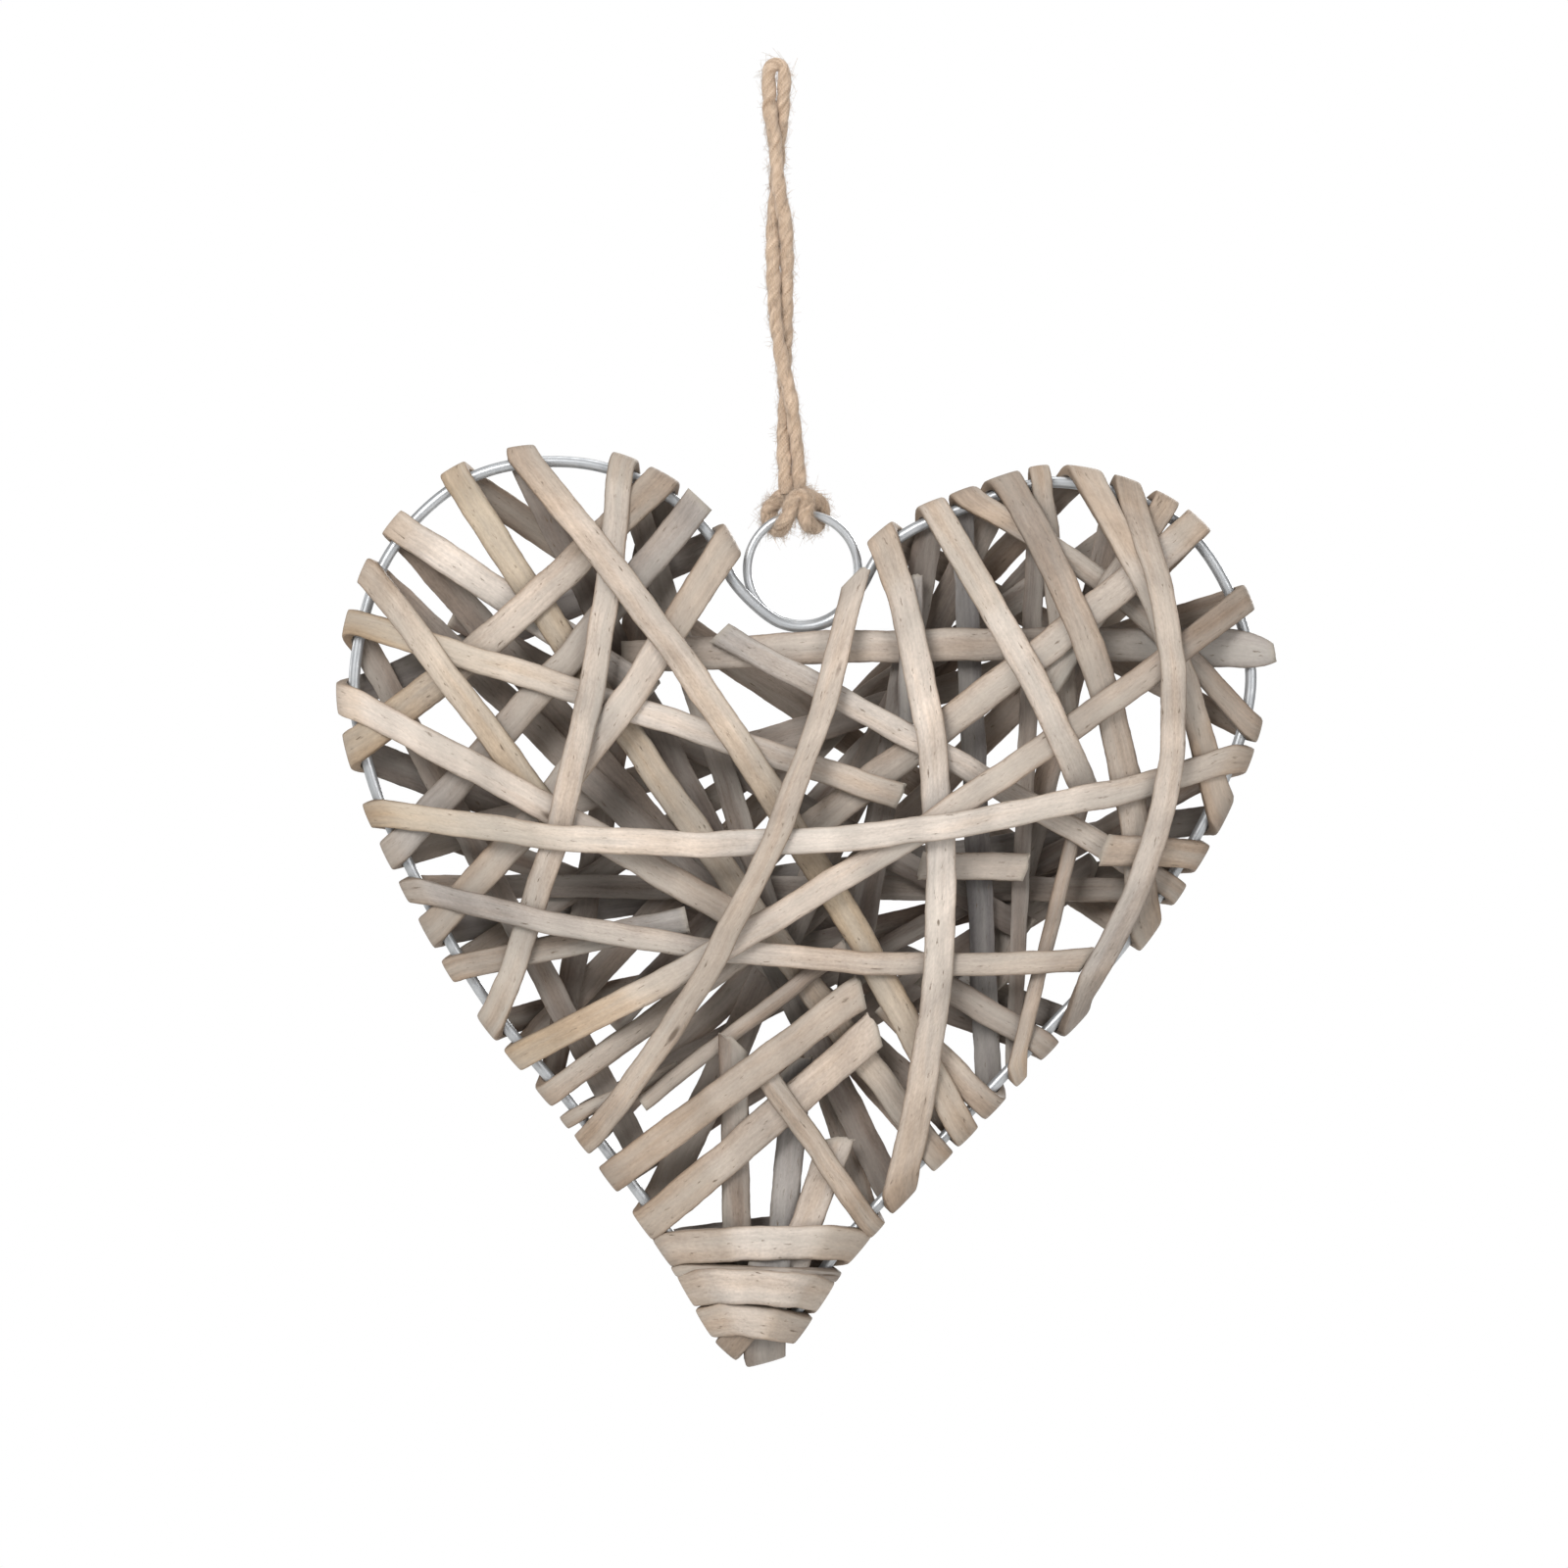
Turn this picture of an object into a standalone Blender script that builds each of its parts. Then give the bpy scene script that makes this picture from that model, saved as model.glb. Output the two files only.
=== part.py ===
"""Wicker heart: split willow strips wound round a heart of bent wire, hung by a twine loop.

The origin is the point that the twine hangs from. X runs to the right, Z up, and the front faces -Y.
The strips are laid one after another on the front and on the back of the wire. Each strip is pulled
taut, so it takes the shortest way over the wire and over what already lies beneath it.
"""
import math

import bmesh
import bpy
import numpy as np
from mathutils import Vector

MM = 0.001

# Wire heart and its ring
HEART_WIDTH = 190.0 * MM
HEART_HEIGHT = 188.4 * MM
WIRE_DIAMETER = 2.4 * MM
WIRE_POINTS = 64
RING_OUTER_DIAMETER = 25.4 * MM
RING_WIRE_DIAMETER = 1.9 * MM
NOTCH_EASE = 0.6 * MM

# Strips
STRIP_WIDTH = 6.0 * MM
STRIP_THICKNESS = 1.8 * MM
EDGE_SHARE = 0.6
SHOULDER_SHARE = 0.78
LOOSE_WIDTH_SHARE = 0.9
# Corners of a strip's cross-section, in shares of half its width and of its thickness
SECTION = [(-1, 0), (1, 0), (SHOULDER_SHARE, EDGE_SHARE), (0, 1), (-SHOULDER_SHARE, EDGE_SHARE)]
GAP = 0.32 * MM
BOW_SLACK = 0.35 * MM
SEAT_CLEARANCE = 0.9 * MM
STEEPEST_SLANT = 1.5

# Twine
TWINE_DIAMETER = 2.6 * MM
TWINE_DROP = 95.5 * MM
TWINE_LEAN = 5.4 * MM
HOOK_RADIUS = 0.3 * MM
HITCH_TURNS = 3.0
HITCH_PITCH = 3.9 * MM
TWINE_POINTS = 64

# Touching pieces keep this distance
TOUCH = 0.3 * MM

# How a strip is laid over what lies beneath it: the step along it and the points across it where the
# height is felt, the room kept beside it and how far from the wire that room is full, how near to the
# wire's middle it is felt, and how far from a tucked end the highest point counts
LAY_STEP = 0.5 * MM
POINTS_ACROSS = 17
SIDE_ROOM_SHARE = 0.1
SIDE_ROOM_REACH = 4.0 * MM
WIRE_SHARE = 0.4
TUCK_REACH = 9.0 * MM
# Points that bend a strip less than this are left out
SAG = 0.07 * MM
# Round the wire: the widest step between cross-sections and the latest point where a strip leaves it
WRAP_STEP = math.radians(32)
LATEST_LEAVE = math.radians(80)

# Course of the wire, from the left of the notch down to the tip and up to the right of the notch, in
# shares of the heart's width (from its middle) and of its height (from the tip)
WIRE_COURSE = [
    (-0.078, 0.866), (-0.097, 0.908), (-0.157, 0.965), (-0.252, 0.998), (-0.370, 0.981), (-0.461, 0.895),
    (-0.500, 0.755),
    (-0.481, 0.645), (-0.438, 0.544), (-0.355, 0.397), (-0.252, 0.269), (-0.140, 0.118), (-0.067, 0.008),
    (-0.038, 0.008), (0.046, 0.121), (0.218, 0.302), (0.363, 0.463), (0.464, 0.628), (0.500, 0.755),
    (0.472, 0.860), (0.412, 0.935), (0.284, 0.976), (0.177, 0.946), (0.116, 0.919),
    (0.085, 0.893), (0.065, 0.858),
]
# Course of the twine's two legs from the foot of the bend down to the hitch: share of the drop, share
# of the lean, and how far the pair has turned about itself, in degrees
TWINE_COURSE = [
    (0.00, -0.02, 0), (0.06, -0.03, 6), (0.10, -0.03, 28), (0.15, -0.02, 68), (0.23, 0.00, 90),
    (0.30, 0.03, 112), (0.36, 0.08, 152), (0.43, 0.11, 180), (0.50, 0.12, 198), (0.57, 0.14, 216),
    (0.64, 0.19, 243), (0.71, 0.28, 270), (0.77, 0.42, 292), (0.83, 0.46, 316), (0.89, 0.52, 342),
    (0.95, 0.58, 358), (1.00, 0.62, 360),
]
NOTCH_HEIGHT_SHARE = 0.813
NOTCH_ANGLES = [-48, -69, -90, -111, -132]
SEAT_CENTRE = (-0.007, 0.579)

# Front runs, from the lowest to the topmost. A seat is where a run crosses the wire, in degrees
# about SEAT_CENTRE, counted from straight up over the left side. The shares say which part of the
# way from seat to seat is there: a run with a share between 0 and 1 ends inside, tucked in, and one
# under 0 or over 1 sticks out. Then come the width, as a share of STRIP_WIDTH, and the sideways bow,
# as a share of the heart's width.
FRONT_RUNS = [
    (70.8, 292.6, 0.30, 1.03, 1.17, 0.018),
    (52.3, 243.0, 0.00, 0.36, 1.10, 0.000),
    (43.6, 200.6, 0.00, 1.00, 1.02, -0.010),
    (18.6, 91.2, -0.04, 1.00, 1.10, 0.006),
    (339.4, 196.0, 0.07, 0.30, 0.84, 0.004),
    (228.7, 67.0, 0.00, 0.17, 0.94, 0.000),
    (214.4, 50.0, 0.00, 0.17, 0.97, 0.004),
    (221.4, 313.0, 0.00, 0.47, 0.54, -0.004),
    (325.4, 239.0, 0.00, 0.45, 0.76, 0.012),
    (332.6, 282.8, 0.00, 1.00, 0.81, 0.021),
    (312.1, 165.0, 0.00, 0.24, 0.93, -0.004),
    (78.5, 22.0, 0.00, 1.00, 1.16, -0.009),
    (307.9, 125.2, 0.00, 0.60, 1.13, 0.014),
    (46.0, 262.9, 0.375, 1.00, 0.87, 0.010),
    (64.4, 262.2, 0.00, 0.67, 0.93, 0.004),
    (14.7, 103.0, 0.00, 1.00, 1.12, 0.018),
    (58.3, 189.4, 0.00, 0.38, 0.97, 0.000),
    (72.7, 219.8, 0.00, 0.585, 1.03, 0.010),
    (320.5, 273.8, 0.00, 1.00, 0.94, 0.017),
    (328.2, 254.9, 0.00, 1.00, 1.08, 0.032),
    (110.9, 273.6, 0.00, 0.30, 0.90, 0.000),
    (268.8, 90.0, 0.00, 0.11, 1.07, 0.000),
    (91.4, 264.8, 0.67, 0.81, 0.97, -0.004),
    (136.2, 297.4, 0.00, 0.30, 0.84, 0.004),
    (142.0, 272.6, 0.00, 0.16, 0.54, -0.004),
    (146.6, 290.4, 0.07, 0.39, 0.59, 0.010),
    (14.0, 173.6, 0.60, 0.90, 1.00, -0.004),
    (346.8, 177.6, 0.62, 0.90, 1.03, -0.008),
    (318.2, 176.4, 0.76, 0.92, 1.14, -0.014),
    (160.0, 285.6, 0.00, 0.375, 1.23, 0.000),
    (190.2, 53.0, 0.00, 0.215, 0.80, 0.000),
    (152.4, 284.8, 0.00, 0.39, 1.14, 0.005),
    (25.5, 121.7, 0.00, 1.00, 0.94, 0.026),
    (36.4, 208.0, 0.00, 1.00, 1.03, 0.028),
    (98.6, 248.9, 0.00, 0.965, 0.82, -0.035),
    (342.4, 195.8, 0.00, 1.00, 1.07, 0.053),
    (297.9, 128.3, 0.00, 1.00, 0.96, 0.025),
    (336.0, 255.4, 0.00, 0.70, 1.01, 0.013),
    (87.2, 279.5, 0.00, 1.00, 0.93, -0.062),
    (346.8, 145.8, -0.05, 1.00, 0.87, 0.040),
    (316.4, 236.4, 0.00, 1.00, 0.90, 0.077),
    (177.0, 356.0, 0.00, 0.13, 1.00, 0.000),
    (173.2, 292.0, 0.00, 0.09, 0.63, 0.000),
    (165.6, 184.4, 0.00, 1.00, 0.25, 0.000),
    (164.0, 186.2, 0.00, 1.00, 0.82, 0.003),
    (167.6, 182.8, 0.00, 1.00, 0.83, 0.003),
    (170.8, 180.2, 0.00, 1.00, 0.77, 0.002),
]

# Back runs join the seats of the front runs, in the same form. They lie straight, and take their width
# from the front runs that they join. A run tucked in at both ends joins none, and has a width of its own.
BACK_RUNS = [
    (325.4, 221.4, 0.00, 1.00),
    (36.4, 195.8, 0.00, 1.00),
    (336.0, 180.0, 0.00, 0.60),
    (25.5, 190.2, 0.00, 1.00),
    (64.4, 174.0, 0.00, 0.74),
    (58.3, 208.0, 0.00, 1.00),
    (214.4, 332.6, 0.00, 1.00),
    (200.6, 52.3, 0.00, 1.00),
    (58.0, 246.0, 0.10, 0.90),
    (98.6, 262.9, 0.00, 1.00),
    (316.4, 210.0, 0.00, 0.80),
    (328.2, 160.0, 0.00, 1.00),
    (297.9, 91.2, 0.00, 1.00),
    (110.9, 312.1, 0.00, 1.00),
    (136.0, 318.0, 0.10, 0.90),
    (282.8, 342.4, 0.00, 1.00),
    (22.0, 136.2, 0.00, 1.00),
    (14.7, 72.7, 0.00, 1.00),
    (279.5, 142.0, 0.00, 1.00),
    (307.9, 145.8, 0.00, 1.00),
    (152.4, 276.0, 0.00, 0.80),
    (128.3, 320.5, 0.00, 1.00),
    (273.8, 103.0, 0.00, 1.00),
    (121.7, 268.8, 0.00, 1.00),
    (228.7, 87.2, 0.00, 1.00),
    (236.4, 78.5, 0.00, 1.00),
    (43.6, 254.9, 0.00, 1.00),
    (177.0, 4.0, 0.00, 0.12),
    (173.2, 300.0, 0.00, 0.08),
    (165.6, 190.0, 0.00, 0.45),
    (184.4, 160.0, 0.00, 0.40),
    (164.0, 189.0, 0.00, 0.62),
    (186.2, 167.6, 0.00, 1.00),
    (182.8, 170.8, 0.00, 1.00),
    (180.2, 168.0, 0.00, 0.60),
]

STRIP_COLOURS = [(0.60, 0.50, 0.39), (0.52, 0.43, 0.33), (0.66, 0.57, 0.47), (0.45, 0.39, 0.32)]


def fresh_collections():
    """Empties the file and makes one collection for the object."""
    for thing in list(bpy.data.objects):
        bpy.data.objects.remove(thing, do_unlink=True)
    home = bpy.data.collections.new("wicker_heart")
    bpy.context.scene.collection.children.link(home)
    return home


def material(name, colour, roughness, metallic=0.0):
    """A plain Principled material."""
    made = bpy.data.materials.new(name)
    made.use_nodes = True
    shader = made.node_tree.nodes["Principled BSDF"]
    shader.inputs["Base Color"].default_value = (*colour, 1.0)
    shader.inputs["Roughness"].default_value = roughness
    shader.inputs["Metallic"].default_value = metallic
    return made


def smooth_curve(points, steps=60):
    """Fine points on a smooth curve from the second point to the last but one, with the outermost two
    giving its direction there."""
    fine = []
    for a, b, c, d in zip(points, points[1:], points[2:], points[3:]):
        t1 = np.linalg.norm(b - a) ** 0.5
        t2 = t1 + np.linalg.norm(c - b) ** 0.5
        t3 = t2 + np.linalg.norm(d - c) ** 0.5
        for t in np.linspace(t1, t2, steps, endpoint=False):
            ab = a + (b - a) * t / t1
            bc = b + (c - b) * (t - t1) / (t2 - t1)
            cd = c + (d - c) * (t - t2) / (t3 - t2)
            abc = ab + (bc - ab) * t / t2
            bcd = bc + (cd - bc) * (t - t1) / (t3 - t1)
            fine.append(abc + (bcd - abc) * (t - t1) / (t2 - t1))
    return np.array(fine + [points[-2]])


def pick_points(fine, count):
    """So many of the fine points, closer together where the curve bends more."""
    evenness = 8.0 / len(fine)
    heading = np.diff(fine, axis=0)
    heading /= np.linalg.norm(heading, axis=1)[:, None]
    turning = np.linalg.norm(np.diff(heading, axis=0), axis=1)
    need = np.concatenate([[0], np.cumsum(turning + evenness), [0]])
    need[-1] = need[-2] + evenness
    marks = np.linspace(0, need[-1], int(count))
    return [fine[int(index)] for index in sorted(set(np.searchsorted(need, marks - 1e-12)))]


class Wire:
    """The wire heart's centre line, closed, with its frame at any length along it."""

    def __init__(self):
        self.ring_radius = (RING_OUTER_DIAMETER - RING_WIRE_DIAMETER) / 2
        self.ring_centre = np.array([TWINE_LEAN, -TWINE_DROP - RING_OUTER_DIAMETER / 2])
        reach = self.ring_radius + NOTCH_EASE
        self.tip_height = self.ring_centre[1] - reach - NOTCH_HEIGHT_SHARE * HEART_HEIGHT
        turns = np.radians(NOTCH_ANGLES)
        notch = self.ring_centre + reach * np.column_stack([np.cos(turns), np.sin(turns)])
        course = np.array([self.place(*share) for share in WIRE_COURSE])
        self.points = self.even_steps(np.vstack([notch[2:], course, notch[:2]]))
        self.count = len(self.points)
        ahead = np.roll(self.points, -2, axis=0)
        behind = np.roll(self.points, 2, axis=0)
        self.tangents = (ahead - behind) / np.linalg.norm(ahead - behind, axis=1)[:, None]
        out = self.points - self.place(*SEAT_CENTRE)
        self.bearings = np.unwrap(np.arctan2(-out[:, 0], out[:, 1]))

    def place(self, across, up):
        """A point given in shares of the heart's width and height."""
        return np.array([self.ring_centre[0] + across * HEART_WIDTH, self.tip_height + up * HEART_HEIGHT])

    def even_steps(self, corners, step=0.5 * MM):
        """Points about one step apart on the smooth closed curve through the corners."""
        fine = smooth_curve(np.vstack([corners[-1], corners, corners[:2]]))
        runs = np.concatenate([[0], np.cumsum(np.linalg.norm(np.diff(fine, axis=0), axis=1))])
        self.length = runs[-1]
        marks = np.linspace(0, self.length, int(self.length / step), endpoint=False)
        return np.column_stack([np.interp(marks, runs, fine[:, axis]) for axis in (0, 1)])

    def station(self, degrees):
        """Length along the wire at a bearing about the seat centre."""
        lengths = np.arange(self.count) * self.length / self.count
        return float(np.interp(math.radians(degrees), self.bearings, lengths))

    def frame(self, station):
        """Point, direction along the wire and direction out of the heart."""
        spot = station / self.length * self.count
        low = int(math.floor(spot))
        part = spot - low
        point = self.points[low % self.count] * (1 - part) + self.points[(low + 1) % self.count] * part
        along = self.tangents[low % self.count] * (1 - part) + self.tangents[(low + 1) % self.count] * part
        along = along / np.linalg.norm(along)
        return point, along, np.array([along[1], -along[0]])


class Pile:
    """How high the strips on one side stand over each point of the heart's plane."""

    CELL = 0.4 * MM

    def __init__(self, wire):
        margin = 2 * STRIP_WIDTH
        self.low = wire.points.min(axis=0) - margin
        size = np.ceil((wire.points.max(axis=0) + margin - self.low) / self.CELL).astype(int) + 2
        self.top = np.full(size, -1.0)

    def cells(self, points):
        """Index of the cell below and left of each point, kept inside the grid."""
        spots = np.floor((points - self.low) / self.CELL).astype(int)
        return np.clip(spots, 0, np.array(self.top.shape) - 2)

    def raise_at(self, points, heights):
        """Lifts the four cells about each point to its height."""
        spots = self.cells(points)
        for step in ((0, 0), (1, 0), (0, 1), (1, 1)):
            np.maximum.at(self.top, (spots[:, 0] + step[0], spots[:, 1] + step[1]), heights)

    def over(self, points):
        """Height at each point."""
        spots = np.rint((points - self.low) / self.CELL).astype(int)
        spots = np.clip(spots, 0, np.array(self.top.shape) - 1)
        return self.top[spots[..., 0], spots[..., 1]]

    def add_round(self, centres, radius, depth=0.0):
        """Lays a round bar along the centre points, whose middle is that deep behind the plane."""
        for share in np.linspace(-1, 1, 9):
            along = np.roll(centres, -1, axis=0) - np.roll(centres, 1, axis=0)
            along /= np.linalg.norm(along, axis=1)[:, None]
            side = np.column_stack([along[:, 1], -along[:, 0]]) * radius * share
            height = math.sqrt(max(0.0, 1 - share * share)) * radius - depth
            self.raise_at(centres + side, np.full(len(centres), height))

    def add_band(self, sections):
        """Lays the outer face of a strip given by its cross-sections as (x, z, height) corners."""
        outline = sections[:, [0, 4, 3, 2, 1]]
        for start, end in zip(outline, outline[1:]):
            rows = max(2, int(np.linalg.norm(end - start, axis=1).max() / (0.3 * MM)) + 2)
            for side in range(4):
                across = max(2, int(np.linalg.norm(start[side + 1] - start[side]) / (0.3 * MM)) + 2)
                u = np.linspace(0, 1, rows)[:, None, None]
                v = np.linspace(0, 1, across)[None, :, None]
                near = start[side] * (1 - v) + start[side + 1] * v
                far = end[side] * (1 - v) + end[side + 1] * v
                spread = (near * (1 - u) + far * u).reshape(-1, 3)
                self.raise_at(spread[:, :2], spread[:, 2])


class Seat:
    """Where a strip goes round the wire, from a front run to a back run."""

    def __init__(self, station, width):
        self.station = station
        self.width = width
        self.radius = WIRE_DIAMETER / 2 + GAP
        self.wrapped = False
        self.slant = {"front": 0.0, "back": 0.0}

    def slant_at(self, turn):
        """Advance along the wire for each unit round it. The turn runs from front (0) to back (pi)."""
        return self.slant["front"] + (self.slant["back"] - self.slant["front"]) * turn / math.pi

    def advance(self, turn):
        """Length along the wire gained since the front of the wire."""
        change = self.slant["back"] - self.slant["front"]
        return self.radius * (self.slant["front"] * turn + change * turn * turn / (2 * math.pi))

    def station_at(self, turn):
        return self.station + self.advance(turn) - self.advance(math.pi / 2)

    def reach_at(self, turn):
        """Half the length of wire that the strip covers at that turn."""
        return self.width / 2 * math.hypot(1.0, self.slant_at(turn))

    def crossing(self, side):
        """Station where the run on that side crosses the wire."""
        return self.station_at(0.0 if side == "front" else math.pi)


class Run:
    """One crossing of the heart, on the front or on the back."""

    def __init__(self, side, ends, shares, widths, bow):
        self.side = side
        self.ends = ends
        self.shares = shares
        self.widths = widths
        self.bow = bow

    def wraps(self, end):
        """Whether the strip goes round the wire at that end."""
        return self.shares[end] == end

    def settle(self, wire):
        """Finds both crossing points and the slant of the strip at each."""
        frames = [wire.frame(seat.crossing(self.side)) for seat in self.ends]
        self.start = frames[0][0]
        self.chord = frames[1][0] - frames[0][0]
        self.length = np.linalg.norm(self.chord)
        self.left = np.array([-self.chord[1], self.chord[0]]) / self.length
        self.shear = []
        for end in (0, 1):
            heading, left = self.heading(end)
            point, along, out = frames[end]
            inward = heading if end == 0 else -heading
            slant = (inward @ along) / max(0.2, -(inward @ out))
            slant = float(np.clip(slant, -STEEPEST_SLANT, STEEPEST_SLANT))
            if self.wraps(end):
                self.ends[end].slant[self.side] = -slant if self.side == "front" else slant
            across = along @ left
            across = math.copysign(max(abs(across), 0.2), across)
            self.shear.append(float(np.clip((along @ heading) / across, -STEEPEST_SLANT, STEEPEST_SLANT)))

    def heading(self, share):
        """Direction of travel and its left side at a share of the way."""
        ahead = self.chord + self.left * self.bow * 4 * (1 - 2 * share)
        ahead = ahead / np.linalg.norm(ahead)
        return ahead, np.array([-ahead[1], ahead[0]])

    def middle(self, share):
        return self.start + self.chord * share + self.left * self.bow * 4 * share * (1 - share)

    def half(self, share):
        """From the middle of the strip to its left edge."""
        heading, left = self.heading(share)
        within = min(max(share, 0.0), 1.0)
        width = self.widths[0] * (1 - within) + self.widths[1] * within
        shear = self.shear[0] * (1 - within) + self.shear[1] * within
        return (left + heading * shear) * width / 2

    def obstacles(self, pile):
        """Distance along the run and clear height there, at every step."""
        radius = self.ends[0].radius
        inset = [radius * WIRE_SHARE if self.wraps(end) else 0.0 for end in (0, 1)]
        low = self.shares[0] * self.length + inset[0]
        high = self.shares[1] * self.length - inset[1]
        marks = np.linspace(low, high, max(3, int((high - low) / LAY_STEP)))
        spread = np.linspace(-1, 1, int(POINTS_ACROSS))
        found = []
        for mark in marks:
            to_wire = [distance for end, distance in ((0, mark), (1, self.length - mark)) if self.wraps(end)]
            factor = 1.0 + SIDE_ROOM_SHARE * min(1.0, min(to_wire, default=SIDE_ROOM_REACH) / SIDE_ROOM_REACH)
            share = mark / self.length
            points = self.middle(share) + np.outer(spread * factor, self.half(share))
            found.append(pile.over(points).max() + GAP)
        return marks, np.array(found)

    def lay(self, pile, wire):
        """Pulls the strip taut over the pile and returns its cross-sections, each an array of corners
        as (x, z, height). The height is measured outward from the plane of the wire."""
        marks, clear = self.obstacles(pile)
        radius = self.ends[0].radius
        line = [(mark, height) for mark, height in zip(marks[1:-1], clear[1:-1]) if height > 0]
        for end in (0, 1):
            line += self.anchor(end, marks, clear, radius)
        chain = self.follow_bow(self.thin(upper_hull(line)))
        sections = []
        for end in (0, 1):
            if not self.wraps(end):
                continue
            sign = -1 if end == 0 else 1
            base = 0.0 if end == 0 else self.length
            on_wire = [math.atan2(sign * (x - base) / self.stretch(end), y)
                       for x, y in chain if sign * (x - base) > -1e-9]
            leave = min(max(min(on_wire, default=LATEST_LEAVE), 0.0), LATEST_LEAVE)
            sections.append(self.round_the_wire(end, leave, wire))
        flat = []
        for x, y in chain:
            past = [x < 1e-9 and self.wraps(0), x > self.length - 1e-9 and self.wraps(1)]
            if not any(past):
                flat.append(self.flat_section(x / self.length, y))
        first = sections[0] if self.wraps(0) else []
        last = sections[-1][::-1] if self.wraps(1) else []
        return np.array(list(first) + flat + list(last))

    def stretch(self, end):
        return math.hypot(1.0, self.ends[end].slant[self.side])

    def anchor(self, end, marks, clear, radius):
        """Where the taut line ends: on the wire's round, or on what lies under a tucked end."""
        if self.wraps(end):
            sign = -1 if end == 0 else 1
            base = 0.0 if end == 0 else self.length
            turns = np.radians(np.arange(0, 91, 15))
            reach = sign * radius * self.stretch(end)
            return [(base + reach * math.sin(t), radius * math.cos(t)) for t in turns]
        place = marks[0] if end == 0 else marks[-1]
        near = clear[np.abs(marks - place) < TUCK_REACH].max()
        return [(place, max(near, radius))]

    def thin(self, chain):
        """Drops points that hardly bend the line, and lifts the line by as much."""
        kept = [chain[0]]
        for index in range(1, len(chain) - 1):
            (x0, y0), (x1, y1), (x2, y2) = kept[-1], chain[index], chain[index + 1]
            inside = 1e-9 < x1 < self.length - 1e-9
            sag = y1 - (y0 + (y2 - y0) * (x1 - x0) / (x2 - x0))
            if inside and sag < SAG:
                continue
            kept.append((x1, y1))
        kept.append(chain[-1])
        return [(x, y + SAG) if 1e-9 < x < self.length - 1e-9 else (x, y) for x, y in kept]

    def follow_bow(self, chain):
        """Adds points on the long straight parts of a bowed strip, so that it keeps to its course."""
        longest = self.length / max(1.0, math.sqrt(abs(self.bow) / BOW_SLACK))
        full = [chain[0]]
        for (x0, y0), (x1, y1) in zip(chain, chain[1:]):
            parts = max(1, math.ceil((x1 - x0) / longest - 0.2))
            full += [(x0 + (x1 - x0) * n / parts, y0 + (y1 - y0) * n / parts) for n in range(1, parts + 1)]
        return full

    def flat_section(self, share, height):
        middle = self.middle(share)
        half = self.half(share)
        return [(*(middle + half * across), height + STRIP_THICKNESS * up) for across, up in SECTION]

    def round_the_wire(self, end, leave, wire):
        """Sections from the outermost point of the wire to where the strip leaves it."""
        seat = self.ends[end]
        steps = max(1, math.ceil((math.pi / 2 - leave) / WRAP_STEP))
        made = []
        for turn in np.linspace(math.pi / 2, leave, steps + 1):
            whole = turn if self.side == "front" else math.pi - turn
            station = seat.station_at(whole)
            heading, left = self.heading(end)
            point, along, out = wire.frame(station)
            half = math.copysign(seat.reach_at(whole), along @ left)
            section = []
            for across, up in SECTION:
                hollow = max(0.0, (wire.frame(station + half * across)[0] - point) @ out)
                reach = seat.radius + STRIP_THICKNESS * up
                place = point + along * half * across + out * (reach * math.sin(turn) + hollow)
                section.append((*place, reach * math.cos(turn)))
            made.append(section)
        return made


def upper_hull(points):
    """The taut line over a set of points, left to right."""
    chain = []
    for point in sorted(points):
        while len(chain) > 1:
            (x0, y0), (x1, y1) = chain[-2], chain[-1]
            if (x1 - x0) * (point[1] - y0) - (y1 - y0) * (point[0] - x0) < 0:
                break
            chain.pop()
        chain.append(point)
    return chain


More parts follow.
